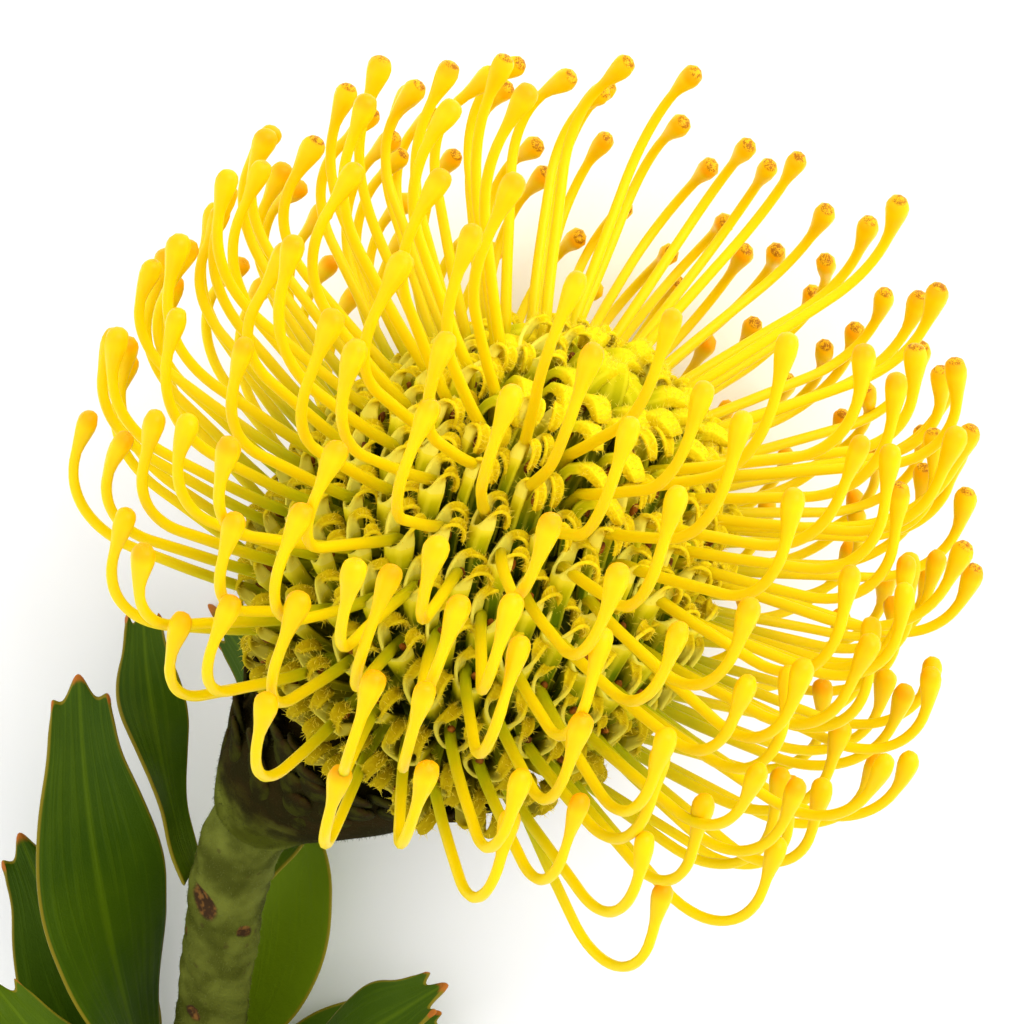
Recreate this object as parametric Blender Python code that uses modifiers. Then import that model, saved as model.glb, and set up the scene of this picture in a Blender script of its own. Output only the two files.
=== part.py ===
"""Pincushion protea: one cut bloom on a leafy stem, lying on a flat surface.

Metres, +Z up. +X runs from the cut end of the stem to the top of the bloom.
The plant is modelled upright in its own frame, with +Z along the bloom's axis and the middle of the
floret dome at the origin, and an empty then lays it down so that the lowest styles and the cut end
rest on Z = 0.
"""

import math
import random

import bmesh
import bpy
from mathutils import Matrix, Vector

MM = 0.001

# How the plant lies
AXIS_RISE = math.radians(20.0)
DOME_X = 28.225 * MM
DOME_Y = 1.17 * MM
DOME_Z = 47.0 * MM
FLOOR_LEVEL = 0.05 * MM
FLOOR_PRESS = 1.4 * MM
FLOOR_SOFTNESS = 2.2 * MM

# Dome of florets
STRETCH_UP = 1.33
STRETCH_DOWN = 1.25
CORE_RADIUS = 18.4 * MM
CORE_STRETCH_DOWN = 1.45
CORE_FLOOR = -22.5 * MM
FLORET_COUNT = 262
LUMP_COUNT = 94
FLORET_POLAR_END = math.radians(140.0)
GOLDEN_TURN = math.radians(137.5077)
FLORET_ROOT_RADIUS = 15.4 * MM
FLORET_TIP_RADIUS = 26.8 * MM
FLORET_LEAN = math.radians(13.0)
FLORET_LEAN_LOSS = 0.55
FLORET_LEAN_START = 0.5
LOW_POLAR = math.radians(90.0)
LOW_SPAN = math.radians(50.0)
FLORET_ROOT_WIDTH = 4.0 * MM
FLORET_TIP_WIDTH = 6.9 * MM
FLORET_ROOT_DEPTH = 3.2 * MM
FLORET_TIP_DEPTH = 5.5 * MM
FLORET_BACK_WIDTH = 0.62
FLORET_BACK_DROP = 0.9 * MM
FLORET_JITTER = 0.7 * MM
FLORET_ROLL = math.radians(16.0)
NOTCH_DEPTH = 2.6 * MM

# Styles
STYLE_EVERY = 2
STYLE_POLAR_START = math.radians(38.0)
STYLE_POLAR_END = math.radians(126.0)
STYLE_START_RADIUS = 14.0 * MM
STYLE_MOUTH_RADIUS = 25.0 * MM
STYLE_MOUTH_LEAN = 0.7
STYLE_REACH = 39.2 * MM
STYLE_FAN = 1.04
STYLE_SPREAD = math.radians(7.0)
STYLE_SWING = math.radians(9.0)
STYLE_FOLD_POLAR = math.radians(70.0)
STYLE_FOLD = 0.70
STYLE_TOP_SAVING = 5.0 * MM
STYLE_REACH_SPREAD = 2.2 * MM
STYLE_BOW = 0.08
STYLE_DRIFT = 0.10
STYLE_SIDE_REACH = 1.6 * MM
# The hook: where its middle is, how much later on the under side, its scatter, the range of its half,
# and how much of its turn is an even arc
HOOK_PLACE = 0.65
HOOK_DELAY = 0.05
HOOK_SCATTER = 0.06
HOOK_HALF = (0.17, 0.24)
HOOK_ROUNDNESS = 0.85
# Two low styles hang further out than the rest
STRAY_STYLES = (230, 209)
STRAY_TURN = math.radians(16.0)
STRAY_REACH = 2.5 * MM
TIP_LEAN = math.radians(8.0)
TIP_LEAN_UNDER = math.radians(28.0)
TIP_SPREAD = math.radians(13.0)
TIP_LEAN_START = 0.8
TIP_DRIFT = 0.24
STYLE_RADIUS = 0.66 * MM
PRESENTER_RADIUS = 1.5 * MM
PRESENTER_END_RADIUS = 0.95 * MM
PRESENTER_LENGTH = 7.6 * MM
PATH_STEPS = 48

# Collar of bracts under the dome
GAP = 0.3 * MM
COLLAR_FOOT = -52.0 * MM
COLLAR_TOP_RADIUS = 14.8 * MM
COLLAR_FOOT_RADIUS = 5.9 * MM
COLLAR_SKEW = 7.2 * MM
COLLAR_STEPS = 20
# Each ring of the collar: share of the top radius and height in millimetres
COLLAR_PROFILE = (
    (0.72, -22.8), (1.0, -24.0), (0.98, -30.0), (0.90, -36.0), (0.72, -42.5), (0.52, -48.0),
)
# Rows of bracts: height and radius in millimetres, number round, and lean off the axis in degrees
BRACT_ROWS = (
    (-30.0, 13.8, 14, 60.0), (-34.6, 13.1, 12, 46.0), (-39.2, 11.7, 10, 36.0), (-44.2, 9.6, 8, 28.0),
)
BRACT_LENGTH = 6.8 * MM
BRACT_WIDTH = 6.4 * MM
BRACT_THICK = 1.3 * MM
BRACT_SEAT = 0.6 * MM
BRACT_LIFT = 0.28

# Stem
STEM_TOP_RADIUS = 5.4 * MM
STEM_CUT_RADIUS = 4.5 * MM
STEM_CUT = (STEM_CUT_RADIUS * math.cos(AXIS_RISE) - DOME_Z) / math.sin(AXIS_RISE)
STEM_BEND = -57.2 * MM
STEM_SWAY = -24.5 * MM
STEM_CURVE = 1.1
STEM_STEPS = 15

# Leaves: height and side of the foot, the tip in the plant's frame, the width, the side it faces, the
# share of its length where it is widest, and the angle at which it leaves the stem
LEAF_THICK = 0.9 * MM
LEAF_ROWS = 9
LEAF_COLUMNS = 4
LEAF_FOOT_WIDTH = 5.4 * MM
LEAF_TAPER = 0.46
LEAF_TAPER_EARLY = 0.8
LEAF_KNEE = 0.45
LEAF_CUP = 0.16
LEAF_RIPPLE = 0.03
LEAF_SEAT = 0.15 * MM
TOOTH = 1.8 * MM
LEAVES = (
    (-108.0, 89.0, (4.9, 35.2, -45.1), 20.4, -36.0, 0.45, 44.0),
    (-67.0, 101.0, (-21.0, 35.4, -49.9), 11.2, -26.0, 0.50, 53.0),
    (-63.0, 202.0, (-29.8, 26.6, -50.4), 13.6, 14.0, 0.55, 46.0),
    (-120.0, 104.0, (-1.7, 31.9, -79.0), 18.0, -30.0, 0.50, 52.0),
    (-123.0, 44.0, (13.0, 24.0, -90.0), 14.0, -70.0, 0.55, 30.0),
    (-97.0, 194.0, (-22.0, 12.2, -60.0), 18.0, 2.0, 0.58, 20.0),
    (-97.5, -92.0, (-3.0, -25.4, -62.0), 13.0, 52.0, 0.62, 20.0),
    (-101.0, -46.0, (14.0, -31.0, -68.0), 18.0, 125.0, 0.62, 20.0),
    (-110.0, -6.0, (22.0, -11.0, -76.0), 19.0, 176.0, 0.62, 20.0),
    (-106.0, -146.0, (-15.0, -32.0, -78.0), 16.0, 30.0, 0.62, 20.0),
    (-117.0, -94.0, (-1.0, -38.0, -88.0), 16.0, 75.0, 0.62, 20.0),
)


def clear_scene():
    for scene_object in list(bpy.data.objects):
        bpy.data.objects.remove(scene_object, do_unlink=True)


def new_collection(name):
    collection = bpy.data.collections.new(name)
    bpy.context.scene.collection.children.link(collection)
    return collection


def new_material(name, colour, roughness):
    material = bpy.data.materials.new(name)
    material.use_nodes = True
    shader = material.node_tree.nodes["Principled BSDF"]
    shader.inputs["Base Color"].default_value = (*colour, 1.0)
    shader.inputs["Roughness"].default_value = roughness
    shader.inputs["Metallic"].default_value = 0.0
    return material


def laid_down():
    """Turns the plant's own frame to the world: its axis rises by AXIS_RISE over +X."""
    across = Vector((-math.sin(AXIS_RISE), 0.0, math.cos(AXIS_RISE)))
    along = Vector((math.cos(AXIS_RISE), 0.0, math.sin(AXIS_RISE)))
    turn = Matrix((across, Vector((0.0, 1.0, 0.0)), along)).transposed().to_4x4()
    return Matrix.Translation((DOME_X, DOME_Y, DOME_Z)) @ turn


def smooth(value):
    value = min(max(value, 0.0), 1.0)
    return value * value * (3.0 - 2.0 * value)


def meridian(polar, azimuth):
    return Vector((
        math.sin(polar) * math.cos(azimuth),
        math.sin(polar) * math.sin(azimuth),
        math.cos(polar),
    ))


def on_dome(polar, azimuth, radius):
    """A point of the dome, which is longer along its axis than it is wide."""
    point = meridian(polar, azimuth) * radius
    point.z *= STRETCH_UP if point.z > 0.0 else STRETCH_DOWN
    return point


def floret_angles(index, total):
    """Polar angle and azimuth of one of this many florets on an even spiral over the dome."""
    share = (index + 0.5) / total
    height = 1.0 - share * (1.0 - math.cos(FLORET_POLAR_END))
    return math.acos(height), index * GOLDEN_TURN


def floret_lean(polar):
    """How far a floret's mouth is turned to the apex: nothing at the apex, and less again low down."""
    low = smooth((polar - LOW_POLAR) / LOW_SPAN)
    return FLORET_LEAN * smooth(polar / FLORET_LEAN_START) * (1.0 - FLORET_LEAN_LOSS * low)


def pressed(point, radius, pose, back):
    """Lifts a point of the plant so that a round of this radius lies on the floor."""
    world = pose @ point
    rest = FLOOR_LEVEL + radius
    over = (world.z + FLOOR_PRESS - rest) / FLOOR_SOFTNESS
    if over > 9.0:
        return point
    lifted = rest + FLOOR_SOFTNESS * math.log1p(math.exp(over)) - FLOOR_PRESS
    world.z = max(lifted, rest)
    return back @ world


def under_side(azimuth):
    """1 for the styles that grow straight to the floor, and 0 for the upper half."""
    return max(-math.cos(azimuth), 0.0)


def tip_heading(polar, azimuth, spread):
    """The way a presenter points: in over the bloom's axis, most on the lower side, the rest also to +Y."""
    under = under_side(azimuth)
    lean = (TIP_LEAN + TIP_LEAN_UNDER * under + spread) * smooth(polar / TIP_LEAN_START)
    heading = meridian(-lean, azimuth)
    heading.y += TIP_DRIFT * (1.0 - under)
    return heading.normalized()


def style_path(index, pose, back):
    """Centre line of a style: out from the floret, then a hook that turns its tip to the axis."""
    polar, azimuth = floret_angles(index, FLORET_COUNT)
    dice = random.Random(1000 + index)
    mouth_polar = polar - STYLE_MOUTH_LEAN * floret_lean(polar)
    start = on_dome(mouth_polar, azimuth, STYLE_MOUTH_RADIUS)
    reach = STYLE_REACH + STYLE_REACH_SPREAD * dice.uniform(-1.0, 1.0)
    reach -= STYLE_TOP_SAVING * max(math.cos(polar), 0.0) ** 2
    reach -= STYLE_SIDE_REACH * math.sin(azimuth) * math.sin(polar)
    outward = polar * STYLE_FAN - STYLE_FOLD * max(polar - STYLE_FOLD_POLAR, 0.0)
    outward += STYLE_SPREAD * dice.uniform(-1.0, 1.0)
    if index in STRAY_STYLES:
        outward += STRAY_TURN
        reach += STRAY_REACH
    tip = tip_heading(polar, azimuth, TIP_SPREAD * dice.uniform(-1.0, 1.0))
    bend_middle = HOOK_PLACE + HOOK_DELAY * under_side(azimuth) + HOOK_SCATTER * dice.uniform(-1.0, 1.0)
    bend_half = dice.uniform(*HOOK_HALF)
    swing = STYLE_SWING * dice.uniform(-1.0, 1.0)
    points = [on_dome(mouth_polar, azimuth, STYLE_START_RADIUS)]
    marks = [STYLE_START_RADIUS - STYLE_MOUTH_RADIUS]
    here = start.copy()
    step = reach / PATH_STEPS
    for count in range(PATH_STEPS + 1):
        share = count / PATH_STEPS
        points.append(here.copy())
        marks.append(count * step)
        bent = min(max((share - bend_middle + bend_half) / (2.0 * bend_half), 0.0), 1.0)
        turn = HOOK_ROUNDNESS * bent + (1.0 - HOOK_ROUNDNESS) * smooth(bent)
        bow = STYLE_BOW * outward * math.sin(math.pi * min(share / bend_middle, 1.0))
        heading = meridian(outward - bow, azimuth + swing * share)
        heading.y -= STYLE_DRIFT
        here += heading.normalized().slerp(tip, turn) * step
    radii = [style_radius(mark - reach) for mark in marks]
    points = [pressed(point, radius, pose, back) for point, radius in zip(points, radii)]
    return points, bend_middle, bend_half


def style_radius(before_tip):
    """Radius at a distance before the tip: a slim shaft, then a club-shaped pollen presenter."""
    share = 1.0 + before_tip / PRESENTER_LENGTH
    if share <= 0.0:
        return STYLE_RADIUS
    swell = smooth(share / 0.72)
    close = math.sqrt(max(1.0 - smooth((share - 0.74) / 0.30) ** 2, 0.0))
    return (STYLE_RADIUS + (PRESENTER_RADIUS - STYLE_RADIUS) * swell) * max(close, 0.45)


def at_share(points, share):
    place = share * (len(points) - 1)
    low = min(int(place), len(points) - 2)
    return points[low].lerp(points[low + 1], place - low)


def style_object(index, pose, back, collection):
    points, middle, half = style_path(index, pose, back)
    root = points[0]
    path = points[1:]
    club = 1.0 - PRESENTER_LENGTH / STYLE_REACH
    hook = [middle - half, min(middle - 0.2 * half, club - 0.08), min(middle + 0.6 * half, club - 0.03)]
    shares = [0.02] + hook + [club, club + 0.12, 1.0]
    radii = {len(shares) - 1: PRESENTER_END_RADIUS, len(shares) - 2: PRESENTER_RADIUS}
    curve = bpy.data.curves.new("style", "CURVE")
    curve.dimensions = "3D"
    curve.bevel_depth = 1.0 * MM
    curve.bevel_resolution = 0
    curve.use_fill_caps = True
    spline = curve.splines.new("POLY")
    spline.points.add(len(shares))
    for place, point in enumerate([root] + [at_share(path, share) for share in shares]):
        spline.points[place].co = (*point, 1.0)
        spline.points[place].radius = radii.get(place - 1, STYLE_RADIUS * 1.08) / (1.0 * MM)
    return mesh_from_curve("style", curve, collection)


def mesh_from_curve(name, curve, collection):
    """The curve as a closed mesh object, its caps welded."""
    holder = bpy.data.objects.new(name + "_curve", curve)
    collection.objects.link(holder)
    graph = bpy.context.evaluated_depsgraph_get()
    mesh = bpy.data.meshes.new_from_object(holder.evaluated_get(graph))
    edit = bmesh.new()
    edit.from_mesh(mesh)
    bmesh.ops.remove_doubles(edit, verts=edit.verts, dist=1e-6)
    bmesh.ops.recalc_face_normals(edit, faces=edit.faces)
    edit.to_mesh(mesh)
    edit.free()
    result = bpy.data.objects.new(name, mesh)
    collection.objects.link(result)
    result.matrix_world = holder.matrix_world.copy()
    bpy.data.objects.remove(holder, do_unlink=True)
    bpy.data.curves.remove(curve)
    return result


def floret_object(index, collection):
    """A floret: a wedge that widens outwards, notched at its mouth between two horns."""
    polar, azimuth = floret_angles(index, LUMP_COUNT)
    dice = random.Random(5000 + index)
    root = on_dome(polar, azimuth, FLORET_ROOT_RADIUS)
    radius = FLORET_TIP_RADIUS + FLORET_JITTER * dice.uniform(-1.0, 1.0)
    tip = on_dome(polar - floret_lean(polar), azimuth, radius)
    along = (tip - root).normalized()
    side = Vector((-math.sin(azimuth), math.cos(azimuth), 0.0))
    front = side.cross(along).normalized()
    if front.z > 0.0:
        front.negate()
    roll = FLORET_ROLL * dice.uniform(-1.0, 1.0)
    rolled = Matrix.Rotation(roll, 3, along)
    side = rolled @ side
    front = rolled @ front
    edit = bmesh.new()
    bmesh.ops.create_cube(edit, size=1.0)
    bmesh.ops.subdivide_edges(
        edit,
        edges=[edge for edge in edit.edges if all(v.co.z > 0 and v.co.y < 0 for v in edge.verts)],
        cuts=1,
    )
    for vertex in edit.verts:
        x, y, z = vertex.co
        top = z > 0.0
        width = FLORET_TIP_WIDTH if top else FLORET_ROOT_WIDTH
        depth = FLORET_TIP_DEPTH if top else FLORET_ROOT_DEPTH
        place = root + side * (x * width)
        if top:
            place = tip + side * (x * width * (1.0 if y < 0 else FLORET_BACK_WIDTH)) - front * (y * depth)
            if y < 0 and abs(x) < 0.1:
                place -= along * NOTCH_DEPTH
            if y > 0:
                place -= along * FLORET_BACK_DROP
        else:
            place -= front * (y * depth)
        vertex.co = place
    bmesh.ops.triangulate(edit, faces=edit.faces)
    if edit.calc_volume(signed=True) < 0.0:
        bmesh.ops.reverse_faces(edit, faces=edit.faces)
    mesh = bpy.data.meshes.new("floret")
    edit.to_mesh(mesh)
    edit.free()
    result = bpy.data.objects.new("floret", mesh)
    collection.objects.link(result)
    return result


def keep_one_body(mesh):
    """Drops the slivers that a union can leave beside the body."""
    edit = bmesh.new()
    edit.from_mesh(mesh)
    unseen = set(edit.verts)
    bodies = []
    while unseen:
        body = {unseen.pop()}
        front = list(body)
        while front:
            for edge in front.pop().link_edges:
                for vertex in edge.verts:
                    if vertex in unseen:
                        unseen.discard(vertex)
                        body.add(vertex)
                        front.append(vertex)
        bodies.append(body)
    bodies.sort(key=len)
    for body in bodies[:-1]:
        bmesh.ops.delete(edit, geom=list(body), context="VERTS")
    edit.to_mesh(mesh)
    edit.free()


def fuse(base, collection):
    """One union of the base with all that grows from it."""
    modifier = base.modifiers.new("fuse", "BOOLEAN")
    modifier.operation = "UNION"
    modifier.operand_type = "COLLECTION"
    modifier.collection = collection
    modifier.solver = "MANIFOLD"
    graph = bpy.context.evaluated_depsgraph_get()
    mesh = bpy.data.meshes.new_from_object(base.evaluated_get(graph))
    keep_one_body(mesh)
    base.modifiers.clear()
    base.data = mesh
    for grown in list(collection.objects):
        bpy.data.objects.remove(grown, do_unlink=True)
    bpy.data.collections.remove(collection)


def build_bloom(parts, pose, back, material):
    edit = bmesh.new()
    bmesh.ops.create_icosphere(edit, subdivisions=2, radius=CORE_RADIUS)
    for vertex in edit.verts:
        vertex.co.z *= STRETCH_UP if vertex.co.z > 0.0 else CORE_STRETCH_DOWN
    bmesh.ops.bisect_plane(
        edit,
        geom=list(edit.verts) + list(edit.edges) + list(edit.faces),
        plane_co=(0.0, 0.0, CORE_FLOOR),
        plane_no=(0.0, 0.0, -1.0),
        clear_outer=True,
    )
    bmesh.ops.holes_fill(edit, edges=[edge for edge in edit.edges if edge.is_boundary])
    bmesh.ops.recalc_face_normals(edit, faces=edit.faces)
    mesh = bpy.data.meshes.new("bloom")
    edit.to_mesh(mesh)
    edit.free()
    bloom = bpy.data.objects.new("bloom", mesh)
    parts.objects.link(bloom)
    growth = new_collection("growth")
    for index in range(LUMP_COUNT):
        floret_object(index, growth)
    for index in range(0, FLORET_COUNT, STYLE_EVERY):
        if STYLE_POLAR_START < floret_angles(index, FLORET_COUNT)[0] < STYLE_POLAR_END:
            style_object(index, pose, back, growth)
    fuse(bloom, growth)
    bloom.data.materials.clear()
    bloom.data.materials.append(material)
    bloom.data.name = "bloom"
    return bloom


def skew(height):
    """How far the collar leans sideways at a height, on its way to the stem."""
    return COLLAR_SKEW * smooth((CORE_FLOOR - height) / (CORE_FLOOR - COLLAR_FOOT))


def build_collar(parts, material):
    """The collar under the dome: a turned cup with rows of pointed bracts."""
    profile = [(0.0, CORE_FLOOR - GAP)]
    profile += [(share * COLLAR_TOP_RADIUS, height * MM) for share, height in COLLAR_PROFILE]
    profile += [(COLLAR_FOOT_RADIUS, COLLAR_FOOT), (0.0, COLLAR_FOOT)]
    edit = bmesh.new()
    ring = [edit.verts.new((radius, 0.0, height)) for radius, height in profile]
    for first, second in zip(ring, ring[1:]):
        edit.edges.new((first, second))
    mesh = bpy.data.meshes.new("involucre")
    edit.to_mesh(mesh)
    edit.free()
    collar = bpy.data.objects.new("involucre", mesh)
    parts.objects.link(collar)
    turn = collar.modifiers.new("turn", "SCREW")
    turn.steps = turn.render_steps = COLLAR_STEPS
    turn.use_merge_vertices = True
    turn.merge_threshold = 1e-5
    turn.use_smooth_shade = False
    graph = bpy.context.evaluated_depsgraph_get()
    turned = bpy.data.meshes.new_from_object(collar.evaluated_get(graph))
    collar.modifiers.clear()
    edit = bmesh.new()
    edit.from_mesh(turned)
    bmesh.ops.recalc_face_normals(edit, faces=edit.faces)
    for vertex in edit.verts:
        vertex.co.y += skew(vertex.co.z)
    edit.to_mesh(turned)
    edit.free()
    collar.data = turned
    growth = new_collection("growth")
    for row, (height, radius, count, lean) in enumerate(BRACT_ROWS):
        for number in range(count):
            dice = random.Random(300 + 40 * row + number)
            azimuth = (number + 0.5 * (row % 2) + dice.uniform(-0.06, 0.06)) / count * math.tau
            level = (height + dice.uniform(-0.4, 0.4)) * MM
            edit = bmesh.new()
            bmesh.ops.create_cone(
                edit, cap_ends=True, segments=4, radius1=0.7, radius2=0.06, depth=1.0,
            )
            spin = Matrix.Rotation(math.radians(45.0), 4, "Z")
            stretch = Matrix.Diagonal((BRACT_THICK, BRACT_WIDTH, BRACT_LENGTH, 1.0))
            tilt = Matrix.Rotation(math.radians(lean + dice.uniform(-4.0, 4.0)), 4, "Y")
            place = Matrix.Translation((radius * MM - BRACT_SEAT, 0.0, level))
            lean_over = Matrix.Translation((0.0, skew(level), 0.0))
            lift = Matrix.Translation((0.0, 0.0, BRACT_LIFT * BRACT_LENGTH))
            turn_round = Matrix.Rotation(azimuth, 4, "Z")
            bmesh.ops.transform(
                edit,
                matrix=lean_over @ turn_round @ place @ tilt @ lift @ stretch @ spin,
                verts=edit.verts,
            )
            mesh = bpy.data.meshes.new("bract")
            edit.to_mesh(mesh)
            edit.free()
            growth.objects.link(bpy.data.objects.new("bract", mesh))
    fuse(collar, growth)
    collar.data.materials.clear()
    collar.data.materials.append(material)
    collar.data.name = "involucre"
    return collar


def stem_centre(height):
    share = max((STEM_BEND - height) / (STEM_BEND - STEM_CUT), 0.0)
    return Vector((0.0, COLLAR_SKEW + STEM_SWAY * share ** STEM_CURVE, height))


def stem_radius(height):
    share = (height - STEM_CUT) / (COLLAR_FOOT - STEM_CUT)
    return STEM_CUT_RADIUS + (STEM_TOP_RADIUS - STEM_CUT_RADIUS) * share


def build_stem(parts, material):
    curve = bpy.data.curves.new("stem", "CURVE")
    curve.dimensions = "3D"
    curve.bevel_depth = 1.0 * MM
    curve.bevel_resolution = 4
    curve.use_fill_caps = True
    spline = curve.splines.new("POLY")
    spline.points.add(STEM_STEPS)
    for count in range(STEM_STEPS + 1):
        height = COLLAR_FOOT - GAP + (STEM_CUT - COLLAR_FOOT + GAP) * count / STEM_STEPS
        spline.points[count].co = (*stem_centre(height), 1.0)
        spline.points[count].radius = stem_radius(height) / (1.0 * MM)
    stem = mesh_from_curve("stem", curve, parts)
    stem.data.materials.append(material)
    stem.data.name = "stem"
    return stem


def leaf_width(share, widest):
    """How far a blade has widened from its foot, and how much of its width its taper leaves."""
    rise = smooth(share / widest)
    taper = LEAF_TAPER + LEAF_TAPER_EARLY * (0.62 - widest)
    fall = 1.0 - taper * smooth((share - widest - 0.08) / (0.92 - widest))
    return rise, fall


def build_leaf(number, parts, material):
    height, azimuth, tip, width, facing, widest, spread_angle = LEAVES[number]
    spread_angle = math.radians(spread_angle)
    height *= MM
    azimuth = math.radians(azimuth)
    width *= MM
    tip = Vector(tip) * MM
    facing = math.radians(facing)
    faced = Vector((math.cos(facing), math.sin(facing), 0.0))
    radial = Vector((math.cos(azimuth), math.sin(azimuth), 0.0))
    tangent = Vector((-math.sin(azimuth), math.cos(azimuth), 0.0))
    stand_off = stem_radius(height) + GAP + 0.5 * LEAF_THICK + LEAF_SEAT
    foot = stem_centre(height) + radial * stand_off
    length = (tip - foot).length
    outward = Vector((0.0, 0.0, math.cos(spread_angle))) + radial * math.sin(spread_angle)
    knee = foot + outward * (LEAF_KNEE * length)
    edit = bmesh.new()
    bmesh.ops.create_grid(edit, x_segments=LEAF_COLUMNS, y_segments=LEAF_ROWS, size=0.5)
    for vertex in edit.verts:
        across = 2.0 * vertex.co.x
        share = vertex.co.y + 0.5
        rise, fall = leaf_width(share, widest)
        half = 0.5 * (LEAF_FOOT_WIDTH + (width - LEAF_FOOT_WIDTH) * rise) * fall
        forward = share
        if share > 0.99:
            forward += (TOOTH if abs(across) < 0.1 or abs(across) > 0.9 else -0.6 * TOOTH) / length
            forward -= 0.16 * across * across * width / length
        elif share > 0.98 - 1.0 / LEAF_ROWS:
            forward -= 0.10 * across * across * width / length
        centre = foot.lerp(knee, forward).lerp(knee.lerp(tip, forward), forward)
        ahead = (knee - foot).lerp(tip - knee, forward).normalized()
        spread = smooth((share - 0.2) / 0.7)
        normal = (-radial).slerp(faced, spread * 0.9)
        normal = (normal - ahead * normal.dot(ahead)).normalized()
        lateral = ahead.cross(normal)
        if lateral.dot(tangent) < 0.0:
            lateral.negate()
        wrap = across * half / stand_off
        hugging = stem_centre(centre.z) + stand_off * (radial * math.cos(wrap) + tangent * math.sin(wrap))
        hugging.z = centre.z
        cup = LEAF_CUP * half * across * across
        ripple = LEAF_RIPPLE * width * math.sin(7.0 * share + number) * across * spread
        flat = centre + lateral * (across * half) + normal * (cup + ripple)
        hugging += radial * ((centre - stem_centre(centre.z)).dot(radial) - stand_off)
        vertex.co = hugging.lerp(flat, smooth(share / 0.3))
    bmesh.ops.triangulate(edit, faces=edit.faces, quad_method="FIXED")
    mesh = bpy.data.meshes.new("leaf")
    edit.to_mesh(mesh)
    edit.free()
    name = "leaf_%02d" % (number + 1)
    leaf = bpy.data.objects.new(name, mesh)
    parts.objects.link(leaf)
    shell = leaf.modifiers.new("thickness", "SOLIDIFY")
    shell.thickness = LEAF_THICK
    shell.offset = 0.0
    leaf.data.materials.append(material)
    return leaf


def main():
    clear_scene()
    parts = new_collection("pincushion_protea")
    pose = laid_down()
    back = pose.inverted()
    bloom_colour = new_material("bloom_yellow", (0.85, 0.60, 0.02), 0.5)
    collar_colour = new_material("bract_olive", (0.10, 0.10, 0.02), 0.7)
    stem_colour = new_material("stem_green", (0.20, 0.23, 0.07), 0.7)
    leaf_colour = new_material("leaf_green", (0.08, 0.16, 0.01), 0.45)
    pieces = [build_bloom(parts, pose, back, bloom_colour)]
    pieces.append(build_collar(parts, collar_colour))
    pieces.append(build_stem(parts, stem_colour))
    pieces += [build_leaf(number, parts, leaf_colour) for number in range(len(LEAVES))]
    plant = bpy.data.objects.new("plant", None)
    parts.objects.link(plant)
    plant.matrix_world = pose
    for piece in pieces:
        piece.parent = plant
    bpy.context.view_layer.update()


main()
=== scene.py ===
"""Looks of the pincushion protea: florets, styles, down, bracts, bark and blades over the fixed frame.

Metres, +Z up, in the frame's own axes. The plant's own frame has +Z along the bloom's axis and the middle
of the floret dome at its origin, and laid_down() gives its place in the world.
"""

import math
import random

import bmesh
import bpy
import numpy as np
from bpy.props import FloatProperty, FloatVectorProperty, IntProperty, PointerProperty
from mathutils import Matrix, Vector


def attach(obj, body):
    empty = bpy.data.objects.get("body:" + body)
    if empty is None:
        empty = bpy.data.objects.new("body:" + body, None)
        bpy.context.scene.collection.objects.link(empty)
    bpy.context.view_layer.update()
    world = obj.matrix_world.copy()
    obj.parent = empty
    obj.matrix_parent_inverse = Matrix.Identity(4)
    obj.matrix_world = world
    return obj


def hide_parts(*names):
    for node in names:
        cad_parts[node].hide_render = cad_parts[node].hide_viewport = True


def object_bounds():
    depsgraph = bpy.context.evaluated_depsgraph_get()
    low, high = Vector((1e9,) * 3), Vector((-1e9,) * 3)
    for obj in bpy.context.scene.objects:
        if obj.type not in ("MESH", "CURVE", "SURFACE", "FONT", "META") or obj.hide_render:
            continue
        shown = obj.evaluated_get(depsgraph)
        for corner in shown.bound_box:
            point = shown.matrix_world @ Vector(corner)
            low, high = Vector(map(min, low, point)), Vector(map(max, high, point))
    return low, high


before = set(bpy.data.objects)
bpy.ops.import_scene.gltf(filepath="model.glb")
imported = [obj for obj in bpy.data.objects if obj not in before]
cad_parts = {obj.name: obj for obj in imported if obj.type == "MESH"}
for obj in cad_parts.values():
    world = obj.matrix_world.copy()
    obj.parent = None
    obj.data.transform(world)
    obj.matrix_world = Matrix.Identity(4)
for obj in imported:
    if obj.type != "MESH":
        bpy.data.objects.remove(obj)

bl_info = {
    "name": "Pincushion protea",
    "version": (1, 0, 0),
    "blender": (4, 5, 0),
    "location": "3D View > Sidebar > Protea",
    "description": "Builds the florets, styles, bracts, stem and leaves of a cut pincushion protea",
    "category": "Object",
}

MM = 0.001
cad_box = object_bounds()

# How the plant lies
AXIS_RISE = math.radians(20.0)
DOME_MIDDLE = Vector((28.225, 1.17, 47.0)) * MM
FLOOR_LEVEL = 0.0
FLOOR_PRESS = 1.4 * MM
FLOOR_SOFTNESS = 2.2 * MM
# A point that is this many times the softness above its rest doesn't feel the floor
FLOOR_FREE = 9.0
FLOOR_SIZE = 6.0

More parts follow.
